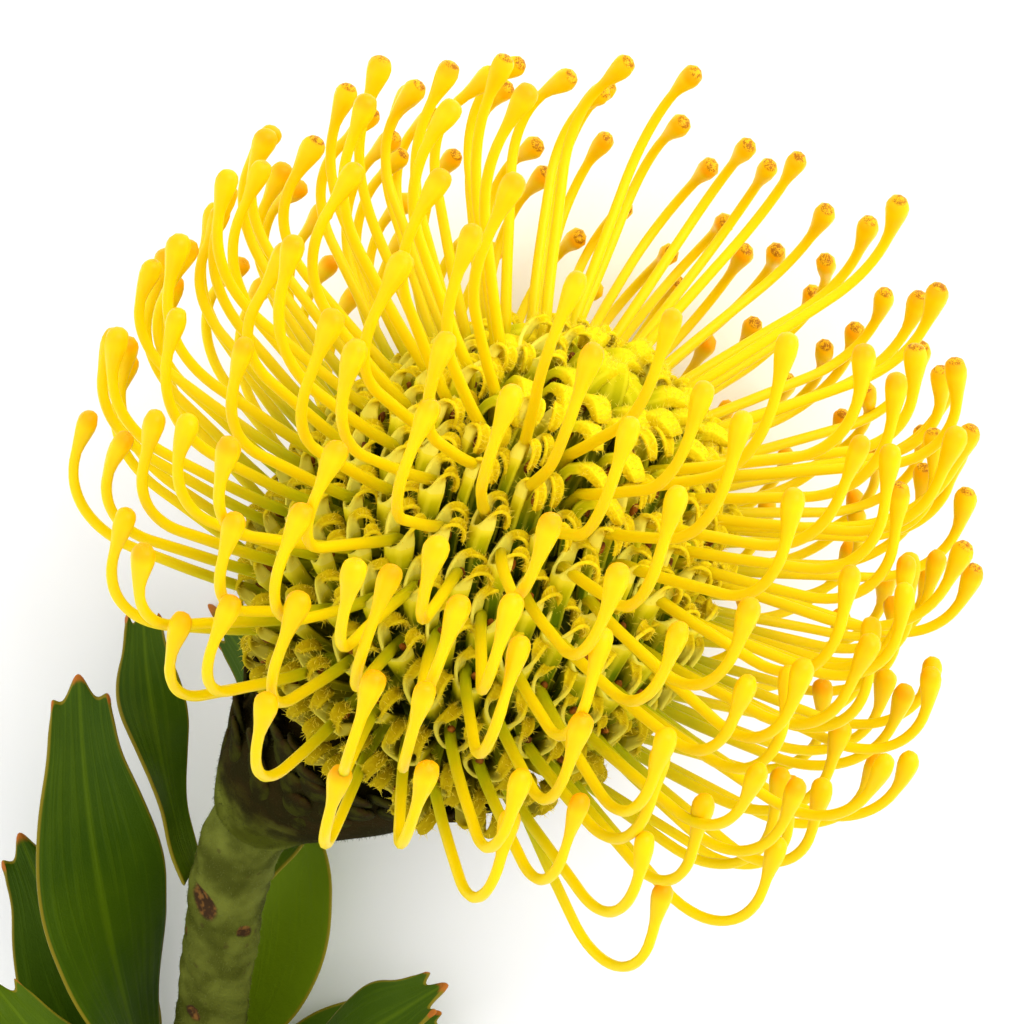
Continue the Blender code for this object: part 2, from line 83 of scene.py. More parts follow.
# Dome of florets
STRETCH_UP = 1.33
STRETCH_DOWN = 1.25
CORE_RADIUS = 18.4 * MM
CORE_STRETCH_DOWN = 1.45
CORE_FLOOR = -22.5 * MM
CORE_WAVES = (2600.0, 2600.0, 2200.0)
CORE_BUMP = 0.018
FLORET_COUNT = 262
FLORET_POLAR_END = math.radians(140.0)
GOLDEN_TURN = math.radians(137.5077)
FLORET_ROOT_RADIUS = 15.8 * MM
FLORET_TIP_RADIUS = 26.6 * MM
FLORET_LEAN = math.radians(13.0)
FLORET_LEAN_LOSS = 0.55
FLORET_LEAN_START = 0.5
FLORET_LOW_START = math.radians(90.0)
FLORET_LOW_RANGE = math.radians(50.0)
FLORET_STOOP = math.radians(22.0)
FLORET_STOOP_START = 0.8
FLORET_APEX_POLAR = 0.25
FLORET_DRIFT = 0.28
FLORET_SEED = 5000
FLORET_TWIST = math.radians(18.0)
FLORET_SCALES = ((0.92, 1.08), (0.92, 1.08), (0.94, 1.05))

# One floret, in millimetres: height, half width and half depth of each row of its gutter, from its root
# to its mouth
FLORET_ROWS = ((0.0, 1.20, 0.95), (7.0, 1.70, 1.16), (11.9, 1.75, 1.20))
FLORET_COLUMNS = 6
FLORET_WRAP = math.radians(110.0)
FLORET_NECK = 1.9
FLORET_SQUARENESS = 0.72
FLORET_FLARE = 0.35
FLORET_FRONT = math.radians(72.0)
FLORET_BELLY = 0.8
FLORET_WALL = 0.42
# The arm that curls back from each side of the mouth: its middle line, half width, and turn across the
# floret as a share of a right angle
ARM_LINE = (
    (1.70, -0.35, 12.6), (1.65, 0.00, 13.6), (1.50, 0.9, 14.2),
    (1.40, 2.0, 13.9), (1.35, 2.7, 12.7), (1.35, 2.8, 10.9),
)
ARM_WIDTHS = (0.55, 0.50, 0.62, 0.74, 0.72, 0.45)
ARM_TURNS = (0.25, 0.6, 1.0, 1.0, 1.0, 1.0)
ARM_VALLEY = 0.30
# How far the arms of each floret move along each axis: the power of the way along the arm, and the range
# in millimetres
ARM_SCATTER = ((2, -0.8, 0.8), (1, -0.5, 0.7), (1, -0.6, 0.4))
# The hood of a young floret near the apex: its whole gutter rolls over backwards
HOOD_ROWS = 8
HOOD_START = 10.4
HOOD_RADIUS = 2.2
HOOD_TURN = math.radians(165.0)
HOOD_POLAR = (math.radians(20.0), math.radians(52.0))
# Its half width and half depth at the root, how much they grow, and how far they close at the tip
HOOD_WIDTH = (1.35, 0.85)
HOOD_DEPTH = (1.05, 0.45)
HOOD_CLOSING = 0.45
# The ridges along its back: height, place and width; and the valley between them: depth and width
HOOD_RIDGE = (0.35, 0.5, 0.24)
HOOD_VALLEY = (0.45, 0.25)
# Anthers, in millimetres in their floret
ANTHER_SEED = 7000
ANTHER_SIZE = (0.55, 0.42, 0.95)
ANTHER_WAIST = 0.28
ANTHER_PLACE = ((0.3, 0.7), (-0.2, 0.5), (10.0, 11.0))
ANTHER_NOD = 0.4

# Styles
STYLE_SEED = 1000
STYLE_POLAR_START = math.radians(38.0)
STYLE_POLAR_END = math.radians(126.0)
STYLE_START_RADIUS = 14.0 * MM
STYLE_MOUTH_RADIUS = 25.0 * MM
STYLE_MOUTH_LEAN = 0.7
STYLE_REACH = 39.2 * MM
STYLE_FAN = 1.04
STYLE_SPREAD = math.radians(7.0)
STYLE_SWING = math.radians(9.0)
STYLE_FOLD_POLAR = math.radians(70.0)
STYLE_FOLD = 0.70
STYLE_TOP_SAVING = 5.0 * MM
STYLE_REACH_SPREAD = 2.2 * MM
STYLE_BOW = 0.08
STYLE_DRIFT = 0.10
STYLE_SIDE_REACH = 1.6 * MM
STYLE_FOOT_SWELL = 0.12
# Two low styles hang further out than the rest
STRAY_STYLES = (230, 209)
STRAY_TURN = math.radians(16.0)
STRAY_REACH = 2.5 * MM
# The hook: where its middle is, how much later on the under side, its scatter, the range of its half,
# and how much of its turn is an even arc
HOOK_PLACE = 0.65
HOOK_DELAY = 0.05
HOOK_SCATTER = 0.06
HOOK_HALF = (0.17, 0.24)
HOOK_ROUNDNESS = 0.85
TIP_START = 0.8
TIP_LEAN = math.radians(8.0)
TIP_LEAN_UNDER = math.radians(28.0)
TIP_SPREAD = math.radians(13.0)
TIP_DRIFT = 0.24
PATH_STEPS = 48
STYLE_SIDES = 8
# A way that no style starts in, which sets where its sides begin
STYLE_ASIDE = (0.31, 0.52, 0.79)
# The rings inside the floret, as shares of the way in
FOOT_RINGS = (1.0, 0.4)
SHAFT_RINGS = 20
RING_LENGTH = 9.0 * MM
RING_TURN = 0.16
# Pollen presenter: distance before the tip and radius, in millimetres
PRESENTER = (
    (7.0, 0.64), (5.6, 0.71), (4.4, 0.90), (3.2, 1.18), (2.1, 1.42),
    (1.2, 1.46), (0.60, 1.28), (0.24, 0.98), (0.05, 0.60), (-0.02, 0.25),
)
PRESENTER_SEED = 9000
PRESENTER_PLUMPNESS = (0.88, 1.02)
PRESENTER_FLATNESS = 0.12
FLAT_LENGTH = 6.0 * MM
BLUSH_LENGTH = 2.8 * MM
BLUSH_STRENGTH = (0.5, 0.95)
# How much less green a style's foot is inside this angle; the loss fades out by twice the angle
GREEN_POLAR = math.radians(50.0)
GREEN_LOSS = 0.28
# The stigma's grainy spot: its strength on the last rings, and the range of the whole. It is strong on the
# presenters beyond STIGMA_PLACE in X whose tips come less than STIGMA_DEPTH nearer to the camera than the
# dome's middle, and weak on the others.
STIGMA_RINGS = (0.0, 0.2, 0.55, 0.9, 1.0)
STIGMA_PLACE = 62.0 * MM
STIGMA_DEPTH = 34.0 * MM
STIGMA_RIM = (0.85, 1.1)
STIGMA_FRONT = (0.10, 0.50)

# Collar of bracts under the dome
GAP = 0.3 * MM
COLLAR_FOOT = -52.0 * MM
COLLAR_TOP_RADIUS = 14.8 * MM
COLLAR_SKEW = 7.2 * MM
# Radius as a share of the widest, and height in millimetres
COLLAR_PROFILE = (
    (0.72, -22.8), (1.0, -24.0), (0.98, -30.0), (0.90, -36.0), (0.72, -42.5), (0.52, -48.0),
    (0.415, -51.2), (0.368, -52.0),
)
COLLAR_SIDES = 48
COLLAR_RINGS = 36
COLLAR_SWELL = 0.35 * MM
# Rows of bracts: height in millimetres, number, length as a share, and lean off the axis in degrees
BRACT_ROWS = (
    (-28.0, 16, 1.0, 58.0), (-30.4, 16, 1.0, 46.0), (-32.8, 15, 0.95, 36.0),
    (-35.3, 14, 0.92, 30.0), (-37.9, 13, 0.90, 26.0), (-40.6, 11, 0.85, 24.0),
    (-43.4, 10, 0.80, 22.0), (-46.2, 8, 0.72, 18.0),
)
BRACT_LENGTH = 6.4 * MM
BRACT_WIDTH = 5.2 * MM
BRACT_THICK = 0.7 * MM
BRACT_CUP = 0.28
BRACT_CURL = 0.10
# Where the outline's sine starts, how much of a half turn it takes up, and its fullness
BRACT_OUTLINE = (0.16, 0.80, 0.8)
BRACT_SEED = 300
BRACT_SEED_STEP = 40
BRACT_SINK = 0.35 * MM

# Stem
STEM_TOP_RADIUS = 5.4 * MM
STEM_CUT_RADIUS = 4.5 * MM
STEM_CUT = (STEM_CUT_RADIUS * math.cos(AXIS_RISE) - DOME_MIDDLE.z) / math.sin(AXIS_RISE)
STEM_BEND = -57.2 * MM
STEM_SWAY = -24.5 * MM
STEM_CURVE = 1.1
STEM_HOLD = 0.5 * MM
STEM_SIDES = 48
STEM_RINGS = 120
# Waves of the bark: height in millimetres, turns round the stem, and radians along it
BARK_WAVES = ((0.16, 5.0, 40.0), (0.12, 2.0, 170.0))
# The swelling under each leaf's foot, its half height and half width
FOOT_SWELL = 0.42 * MM
FOOT_HEIGHT = 3.4 * MM
FOOT_WIDTH = 2.6 * MM
# The cut end, from its bark in to the pith: width and rise of each step, in millimetres
CUT_STEPS = ((0.45, 0.0), (0.4, -0.12), (2.0, 0.05), (0.5, -0.3))
# The share of the stem's length past which it has no down
BARE_END = 0.985

# Scars on the bark: height and side, size in millimetres, and depth of the pit
SCARS = (
    (-64.5, 22.0, 2.7, 0.55), (-66.5, -52.0, 1.3, 0.3), (-72.0, 62.0, 1.2, 0.25), (-82.0, 12.0, 1.3, 0.3),
    (-96.0, 70.0, 1.6, 0.35), (-58.0, -120.0, 1.6, 0.4), (-79.0, -140.0, 1.5, 0.3),
    (-99.0, -20.0, 1.4, 0.3),
)

# Leaves
LEAF_THICK = 0.9 * MM
LEAF_FOOT_WIDTH = 5.4 * MM
LEAF_TAPER = 0.46
LEAF_TAPER_EARLY = 0.8
LEAF_KNEE = 0.45
LEAF_CUP = 0.16
LEAF_RIPPLE = 0.03
LEAF_RIPPLES = 7.0
LEAF_CORNER = 0.9 * MM
LEAF_CORNER_NARROWING = 0.10
LEAF_TIP_ROUNDNESS = 0.16
LEAF_LIFT = 0.15 * MM
LEAF_FACING = 0.9
# How much closer its columns stand at the sides, and its rows at the tip
LEAF_CROWDING = (1.25, 1.12)
# The share of its thickness that its margin keeps, how many millimetres in it is whole, and what a callus
# adds
LEAF_MARGIN_BODY = 0.55
LEAF_MARGIN_WIDTH = 2.5
CALLUS_BODY = 0.6
# What sets the veins of one leaf apart from the next one's
LEAF_DICE = 3.7
LEAF_COLUMNS = 16
LEAF_ROWS = 40
TOOTH = 1.8 * MM
# How much paler each leaf is; the sixth leaf's high value is a painted glow of light shining through it
# from behind
LEAF_TONES_AND_GLOW = (0.04, 0.0, 0.03, 0.0, 0.24, 0.82, 0.07, 0.14, 0.07, 0.14, 0.07)
# Height and side of the foot, the tip in the plant's frame, the width, the side that the blade faces, the
# share of its length where it is widest, and how far it stands out: millimetres and degrees
LEAVES = (
    (-108.0, 89.0, (4.9, 35.2, -45.1), 20.4, -36.0, 0.45, 44.0),
    (-67.0, 101.0, (-21.0, 35.4, -49.9), 11.2, -26.0, 0.50, 53.0),
    (-63.0, 202.0, (-29.8, 26.6, -50.4), 13.6, 14.0, 0.55, 46.0),
    (-120.0, 104.0, (-1.7, 31.9, -79.0), 18.0, -30.0, 0.50, 52.0),
    (-123.0, 44.0, (13.0, 24.0, -90.0), 14.0, -70.0, 0.55, 30.0),
    (-97.0, 194.0, (-22.0, 12.2, -60.0), 18.0, 2.0, 0.58, 20.0),
    (-97.5, -92.0, (-3.0, -25.4, -62.0), 13.0, 52.0, 0.62, 20.0),
    (-101.0, -46.0, (14.0, -31.0, -68.0), 18.0, 125.0, 0.62, 20.0),
    (-110.0, -6.0, (22.0, -11.0, -76.0), 19.0, 176.0, 0.62, 20.0),
    (-106.0, -146.0, (-15.0, -32.0, -78.0), 16.0, 30.0, 0.62, 20.0),
    (-117.0, -94.0, (-1.0, -38.0, -88.0), 16.0, 75.0, 0.62, 20.0),
)

# Camera: the angle between the view and the bloom's axis, the picture's roll, and its framing
VIEW_ANGLE = math.radians(57.0)
VIEW_ROLL = math.radians(33.0)
VIEW_DISTANCE = 0.38
VIEW_WIDTH = 0.1225
VIEW_RAISE = 8.0 * MM
VIEW_UP = 1.6 * MM
SENSOR = 36.0

# Soft lights: place, and width in metres
KEY_LIGHT = ((0.75, -0.25, 0.62), 0.7)
FILL_LIGHT = ((-0.45, 0.75, 0.70), 0.9)

# Hairs: how deep their roots are, and their length as the least share and what chance adds to it
HAIR_SINK = 0.08 * MM
HAIR_LENGTHS = (0.45, 0.75)
# For each piece: width, how far the hairs lean about, and seed
FLORET_HAIRS = (0.09 * MM, 0.45, 11)
COLLAR_HAIRS = (0.06 * MM, 0.5, 12)
BRACT_HAIRS = (0.06 * MM, 0.5, 13)
STEM_HAIRS = (0.05 * MM, 0.45, 14)
COLLAR_HAIR_COUNT = 5000
BRACT_HAIR_COUNT = 6000
STEM_HAIR_COUNT = 9000
# How much longer the collar's hairs are than the stem's
COLLAR_HAIR_GROWTH = 1.3
# How dense the florets' hairs are: on the walls, on the arms' lanes between these two, and the power of
# their rise along an arm
HAIR_WALL = 0.015
HAIR_BETWEEN = 0.3
HAIR_LANES = (0.45, 0.85)
HAIR_RISE = 0.7

# Colours that lie over the settings' own
BLUSH = (0.94, 0.32, 0.001)
SPECKLE = (0.80, 0.45, 0.003)
# A painted highlight along the very edge of each floret's mouth
RIM_PAINTED_HIGHLIGHT = (1.0, 0.92, 0.11)
ARM_MARGIN = (0.95, 0.76, 0.012)
LOW_PAINTED_SHADE = (0.27, 0.185, 0.002)
# Painted shade, in brown, on the lower side of the dome
APEX_GOLD = (0.55, 0.42, 0.003)
SCAR_CRUST = (0.20, 0.09, 0.02)
GOLD_HAIR = ((0.80, 0.58, 0.004), (1.0, 0.88, 0.10))
PALE_HAIR_TIP = (0.26, 0.28, 0.08)


def colour_property(name, description, default):
    return FloatVectorProperty(
        name=name, description=description, subtype="COLOR", size=3, min=0.0, max=1.0, default=default,
    )


def length_property(name, description, default):
    return FloatProperty(
        name=name, description=description, subtype="DISTANCE", unit="LENGTH", min=0.0, default=default,
    )


def power_property(name, description, default):
    return FloatProperty(name=name, description=description, min=0.0, default=default)


class BloomSettings(bpy.types.PropertyGroup):
    """Sizes and colours of the florets and styles."""
    style_radius: length_property("Style radius", "Radius of a style's shaft", 0.64 * MM)
    hair_length: length_property("Hair length", "Length of the gold hairs on the florets", 0.9 * MM)
    hair_count: IntProperty(name="Hairs", description="Hairs on all the florets", default=45000, min=0)
    style_foot: colour_property("Style foot", "Colour where a style leaves the floret", (0.34, 0.38, 0.002))
    style_shaft: colour_property("Style shaft", "Colour of a style's middle", (0.82, 0.61, 0.001))
    style_tip: colour_property("Presenter", "Colour of the pollen presenter", (0.90, 0.60, 0.001))
    stigma: colour_property("Stigma", "Colour of the grainy spot on the tip", (0.38, 0.14, 0.002))
    floret_green: colour_property("Floret", "Colour of a floret's wall", (0.70, 0.63, 0.003))
    # A floret's own green foot, darker still as painted shade deep between the florets
    floret_foot_and_shade: colour_property("Floret foot", "Colour of a floret near its root", (0.12, 0.19, 0.001))
    # A floret's paler mouth, partly its own colour and partly a painted highlight
    floret_rim_and_highlight: colour_property("Floret rim", "Colour of a floret's pale mouth", (0.99, 0.88, 0.035))
    arm_gold: colour_property("Curls", "Colour of the curled arms", (0.66, 0.47, 0.002))
    anther: colour_property("Anthers", "Colour of the anthers in the mouth", (0.36, 0.11, 0.004))
    core: colour_property("Core", "Colour of the core between the florets", (0.10, 0.13, 0.005))


class StemSettings(bpy.types.PropertyGroup):
    """Sizes and colours of the stem and its collar."""
    hair_length: length_property("Down length", "Length of the down on the stem", 0.45 * MM)
    bark: colour_property("Bark", "Colour of the young bark", (0.056, 0.064, 0.004))
    bark_pale: colour_property("Bark bloom", "Paler colour of the bark's down", (0.15, 0.17, 0.022))
    scar: colour_property("Scar", "Colour of a leaf scar", (0.045, 0.022, 0.008))
    wood: colour_property("Cut wood", "Colour of the cut end", (0.55, 0.50, 0.26))
    # The bracts' own dark brown, darkened near to black as painted shade under the dome
    bract: colour_property("Bract", "Colour of the bracts", (0.016, 0.013, 0.002))
    bract_edge: colour_property("Bract edge", "Colour of the bracts' tips", (0.030, 0.016, 0.003))


class LeafSettings(bpy.types.PropertyGroup):
    """Colours of the leaves."""
    blade: colour_property("Blade", "Colour of the blade", (0.030, 0.072, 0.001))
    blade_pale: colour_property("Pale blade", "Colour where the blade is palest", (0.15, 0.235, 0.003))
    margin: colour_property("Margin", "Colour of the leaf's thin edge", (0.28, 0.20, 0.012))
    callus: colour_property("Callus", "Colour of the hard tips of the teeth", (0.42, 0.13, 0.015))


class StageSettings(bpy.types.PropertyGroup):
    """Floor and light."""
    floor: colour_property("Floor", "Colour of the plain floor", (1.0, 1.0, 1.0))
    sky: power_property("Sky", "Strength of the even light all round", 1.05)
    key: power_property("Key light", "Power of the large soft light", 6.5)
    fill: power_property("Fill light", "Power of the light on the left", 2.0)


def deselect():
    bpy.ops.object.select_all(action="DESELECT")


def take(piece):
    deselect()
    piece.select_set(True)
    bpy.context.view_layer.objects.active = piece


def apply_modifier(piece, kind, **settings):
    modifier = piece.modifiers.new(kind.lower(), kind)
    for name, value in settings.items():
        setattr(modifier, name, value)
    take(piece)
    bpy.ops.object.modifier_apply(modifier=modifier.name)


def subdivide(piece):
    apply_modifier(piece, "SUBSURF", levels=1, render_levels=1)


def smooth_shading(piece):
    take(piece)
    bpy.ops.object.shade_smooth()


def recalculate_normals(piece):
    take(piece)
    bpy.ops.object.mode_set(mode="EDIT")
    bpy.ops.mesh.select_all(action="SELECT")
    bpy.ops.mesh.normals_make_consistent(inside=False)
    bpy.ops.object.mode_set(mode="OBJECT")


def added(name):
    """The object that was just added, under its name."""
    item = bpy.context.active_object
    item.name = name
    return item


def add(kind, name, **settings):
    """Adds a primitive mesh, with nothing else selected."""
    deselect()
    getattr(bpy.ops.mesh, "primitive_%s_add" % kind)(**settings)
    return added(name)


def joined(pieces, name):
    deselect()
    for piece in pieces:
        piece.select_set(True)
    bpy.context.view_layer.objects.active = pieces[0]
    bpy.ops.object.join()
    whole = bpy.context.view_layer.objects.active
    whole.name = name
    whole.data.name = name
    return whole


def copy_of(master):
    piece = master.copy()
    piece.data = master.data.copy()
    bpy.context.scene.collection.objects.link(piece)
    return piece


def remove(piece):
    bpy.data.objects.remove(piece, do_unlink=True)


def points_of(mesh):
    flat = np.empty(len(mesh.vertices) * 3, np.float32)
    mesh.vertices.foreach_get("co", flat)
    return flat.reshape(-1, 3).astype(float)


def put_points(mesh, points):
    mesh.vertices.foreach_set("co", np.asarray(points, np.float32).ravel())
    mesh.update()


def put_values(mesh, name, values):
    """Writes a number at each vertex, which the materials read by its name."""
    layer = mesh.attributes.get(name) or mesh.attributes.new(name, "FLOAT", "POINT")
    layer.data.foreach_set("value", np.asarray(values, np.float32))


def values_of(mesh, name):
    values = np.empty(len(mesh.vertices), np.float32)
    mesh.attributes[name].data.foreach_get("value", values)
    return values.astype(float)


def finish_piece(piece, materials, nodes):
    """Dresses a finished piece, hangs it under the root, and hides the parts of the frame that it stands in
    for.
    """
    piece.data.materials.clear()
    for material in materials:
        piece.data.materials.append(material)
    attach(piece, "root")
    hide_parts(*nodes)
    deselect()


def first_and_last(item, count):
    """A number for an edge or face that no other one of its mesh has."""
    marks = [vertex.index for vertex in item.verts]
    return float(min(marks) * count + max(marks))


def put_in_order(piece):
    """Sorts edges and faces by their vertices, since extruding can order them anew in each run."""
    mesh = bmesh.new()
    mesh.from_mesh(piece.data)
    count = len(mesh.verts)
    for items in (mesh.edges, mesh.faces):
        items.sort(key=lambda item: first_and_last(item, count))
    mesh.to_mesh(piece.data)
    mesh.free()


def tube(name, sides, rings):
    """A closed tube with one ring for each step of Z, extruded from a disc."""
    piece = add("circle", name, vertices=sides, radius=1.0, fill_type="NGON")
    bpy.ops.object.mode_set(mode="EDIT")
    bpy.ops.mesh.select_all(action="SELECT")
    for _ in range(rings - 1):
        bpy.ops.mesh.extrude_region_move(TRANSFORM_OT_translate={"value": (0.0, 0.0, 1.0)})
    bpy.ops.object.mode_set(mode="OBJECT")
    put_in_order(piece)
    recalculate_normals(piece)
    return piece


def smooth(value):
    value = min(max(value, 0.0), 1.0)
    return value * value * (3.0 - 2.0 * value)


def smooth_all(values):
    values = np.clip(values, 0.0, 1.0)
    return values * values * (3.0 - 2.0 * values)


def laid_down():
    """Turns the plant's own frame to the world: its axis rises by AXIS_RISE over +X."""
    across = Vector((-math.sin(AXIS_RISE), 0.0, math.cos(AXIS_RISE)))
    along = Vector((math.cos(AXIS_RISE), 0.0, math.sin(AXIS_RISE)))
    turn = Matrix((across, Vector((0.0, 1.0, 0.0)), along)).transposed().to_4x4()
    return Matrix.Translation(DOME_MIDDLE) @ turn


POSE = laid_down()
TURN = POSE.to_3x3()


def meridian(polar, azimuth):
    return Vector((
        math.sin(polar) * math.cos(azimuth),
        math.sin(polar) * math.sin(azimuth),
        math.cos(polar),
    ))


def on_dome(polar, azimuth, radius):
    """A point of the dome, which is longer along its axis than it is wide."""
    point = meridian(polar, azimuth) * radius
    point.z *= STRETCH_UP if point.z > 0.0 else STRETCH_DOWN
    return point


def floret_angles(index):
    """Polar angle and azimuth of a floret on an even spiral over the dome."""
    share = (index + 0.5) / FLORET_COUNT
    height = 1.0 - share * (1.0 - math.cos(FLORET_POLAR_END))
    return math.acos(height), index * GOLDEN_TURN


def floret_lean(polar):
    """How far a floret's mouth is turned to the apex: nothing at the apex, and less again low down."""
    low = smooth((polar - FLORET_LOW_START) / FLORET_LOW_RANGE)
    return FLORET_LEAN * smooth(polar / FLORET_LEAN_START) * (1.0 - FLORET_LEAN_LOSS * low)


def floret_place(index):
    """Where a floret stands in the world: Z out of the dome, Y to the apex."""
    polar, azimuth = floret_angles(index)
    root = on_dome(polar, azimuth, FLORET_ROOT_RADIUS)
    tip = on_dome(polar - floret_lean(polar), azimuth, FLORET_TIP_RADIUS)
    ahead = tip - root
    tangent = Vector((-math.sin(azimuth), math.cos(azimuth), 0.0))
    stooped = Matrix.Rotation(-FLORET_STOOP * smooth(polar / FLORET_STOOP_START), 3, tangent) @ ahead
    stooped.y += FLORET_DRIFT * ahead.length
    stooped *= ahead.length / stooped.length
    outward = meridian(0.5 * math.pi, azimuth)
    apex = Vector((0.0, 0.0, 1.0)) if polar > FLORET_APEX_POLAR else -outward
    return standing(POSE @ (tip - stooped), TURN @ stooped, TURN @ (apex - 0.02 * outward))


def standing(origin, ahead, back):
    """A right-handed place in the world: Z ahead, Y as near to back as it can be."""
    ahead = ahead.normalized()
    back = (back - ahead * back.dot(ahead)).normalized()
    side = back.cross(ahead)
    return Matrix.Translation(origin) @ Matrix((side, back, ahead)).transposed().to_4x4()


# Node trees

def node(tree, kind, **settings):
    """Adds a node. A setting named after an input is its value or the socket that feeds it."""
    made = tree.nodes.new(kind)
    for name, value in settings.items():
        if hasattr(made, name):
            setattr(made, name, value)
    for name, value in settings.items():
        if hasattr(made, name):
            continue
        title = name.replace("_", " ")
        socket = made.inputs[int(title[1:])] if title[1:].isdigit() else made.inputs[title]
        if isinstance(value, bpy.types.NodeSocket):
            tree.links.new(value, socket)
        elif isinstance(value, (tuple, list)) and len(value) == 3 and socket.type == "RGBA":
            socket.default_value = (*value, 1.0)
        else:
            socket.default_value = value
    return made


def calculate(tree, operation, first, second=0.0, clamp=False):
    made = node(tree, "ShaderNodeMath", operation=operation, use_clamp=clamp, i0=first, i1=second)
    return made.outputs[0]


def blend(tree, share, first, second):
    """Mixes two colours by a share."""
    mixed = node(tree, "ShaderNodeMix", data_type="RGBA")
    for place, value in ((0, share), (6, first), (7, second)):
        socket = mixed.inputs[place]
        if isinstance(value, bpy.types.NodeSocket):
            tree.links.new(value, socket)
        else:
            socket.default_value = value if place == 0 else (*value, 1.0)
    return mixed.outputs[2]


def between(tree, value, low, high):
    """0 at low, 1 at high, with a soft step between."""
    return node(
        tree, "ShaderNodeMapRange", interpolation_type="SMOOTHSTEP", Value=value,
        From_Min=low, From_Max=high,
    ).outputs[0]


def new_group(name, inputs, output):
    """A node group of plain numbers, with one number as its result."""
    group = bpy.data.node_groups.new(name, "ShaderNodeTree")
    for title, default in inputs:
        socket = group.interface.new_socket(name=title, in_out="INPUT", socket_type="NodeSocketFloat")
        socket.default_value = default
    group.interface.new_socket(name=output, in_out="OUTPUT", socket_type="NodeSocketFloat")
    given = group.nodes.new("NodeGroupInput").outputs
    result = group.nodes.new("NodeGroupOutput").inputs[output]
    place = node(group, "ShaderNodeTexCoord").outputs["Object"]
    return group, given, result, place


def mottle_group():
    """Soft patches over a surface: a mask from 0 to 1."""
    if "mottle" in bpy.data.node_groups:
        return bpy.data.node_groups["mottle"]
    inputs = (("Scale", 100.0), ("Low", 0.4), ("High", 0.6))
    group, given, result, place = new_group("mottle", inputs, "Mask")
    noise = node(group, "ShaderNodeTexNoise", Vector=place, Scale=given["Scale"], Detail=5.0)
    group.links.new(between(group, noise.outputs[0], given["Low"], given["High"]), result)
    return group


def grain_group():
    """Fine relief of a living surface: a height from a coarse and a fine noise."""
    if "grain" in bpy.data.node_groups:
        return bpy.data.node_groups["grain"]
    inputs = (("Scale", 1000.0), ("Fine", 0.5))
    group, given, result, place = new_group("grain", inputs, "Height")
    coarse = node(group, "ShaderNodeTexNoise", Vector=place, Scale=given["Scale"], Detail=2.0)
    scale = calculate(group, "MULTIPLY", given["Scale"], 4.0)
    fine = node(group, "ShaderNodeTexNoise", Vector=place, Scale=scale, Detail=2.0)
    share = calculate(group, "MULTIPLY", fine.outputs[0], given["Fine"])
    group.links.new(calculate(group, "ADD", coarse.outputs[0], share), result)
    return group


class Paint:
    """A material under work: its shader, and the masks, heights and colours in its tree."""

    def __init__(self, name, roughness, gloss=0.5):
        self.material = bpy.data.materials.new(name)
        self.material.use_nodes = True
        self.tree = self.material.node_tree
        self.shader = self.tree.nodes["Principled BSDF"]
        self.set("Roughness", roughness)
        self.set("Specular IOR Level", gloss)

    def set(self, title, value):
        """A plain value, which stands on the shader itself."""
        self.shader.inputs[title].default_value = value

    def attribute(self, name):
        return node(self.tree, "ShaderNodeAttribute", attribute_name=name).outputs["Fac"]

    def times(self, first, second):
        return calculate(self.tree, "MULTIPLY", first, second)

    def plus(self, first, second, clamp=False):
        return calculate(self.tree, "ADD", first, second, clamp)

    def between(self, value, low, high):
        """The soft step of a value, or of the attribute with that name."""
        if isinstance(value, str):
            value = self.attribute(value)
        return between(self.tree, value, low, high)

    def grouped(self, group, **inputs):
        used = self.tree.nodes.new("ShaderNodeGroup")
        used.node_tree = group
        for title, value in inputs.items():
            used.inputs[title].default_value = value
        return used.outputs[0]

    def patches(self, scale, low, high):
        return self.grouped(mottle_group(), Scale=scale, Low=low, High=high)

    def grain(self, scale, fine):
        return self.grouped(grain_group(), Scale=scale, Fine=fine)

    def over(self, colour, layer, share, strength=None):
        """Lays a colour over another where the share says, at this strength at most."""
        if strength is not None:
            share = self.times(share, strength)
        return blend(self.tree, share, colour, layer)

    def finish(self, colour, height=None, strength=0.3, distance=0.1 * MM):
        self.tree.links.new(colour, self.shader.inputs["Base Color"])
        if height is not None:
            bump = node(self.tree, "ShaderNodeBump", Strength=strength, Distance=distance, Height=height)
            self.tree.links.new(bump.outputs[0], self.shader.inputs["Normal"])
        return self.material


# Materials

def style_material(bloom):
    paint = Paint("waxy_style", 0.40, gloss=0.12)
    paint.set("Subsurface Weight", 0.6)
    paint.set("Subsurface Radius", (1.0, 0.75, 0.1))
    paint.set("Subsurface Scale", 2.0 * MM)
    along = paint.attribute("along")
    colour = paint.over(bloom.style_foot, bloom.style_shaft, paint.between(along, 0.0, 0.46))
    colour = paint.over(colour, bloom.style_tip, paint.between(along, 0.62, 0.92))
    deeper = paint.over(colour, bloom.style_tip, 0.16)
    colour = paint.over(colour, deeper, paint.patches(260.0, 0.35, 0.75))
    colour = paint.over(colour, BLUSH, paint.between("blush", 0.15, 1.0), 0.78)
    grain = paint.grain(1500.0, 0.8)
    spot = paint.between(paint.plus(paint.attribute("stigma"), paint.times(grain, 0.35)), 0.66, 0.90)
    speckled = paint.over(bloom.stigma, SPECKLE, paint.between(grain, 0.75, 1.05))
    colour = paint.over(colour, speckled, spot)
    return paint.finish(colour, paint.times(grain, paint.plus(spot, 0.12)), 0.5, 0.12 * MM)


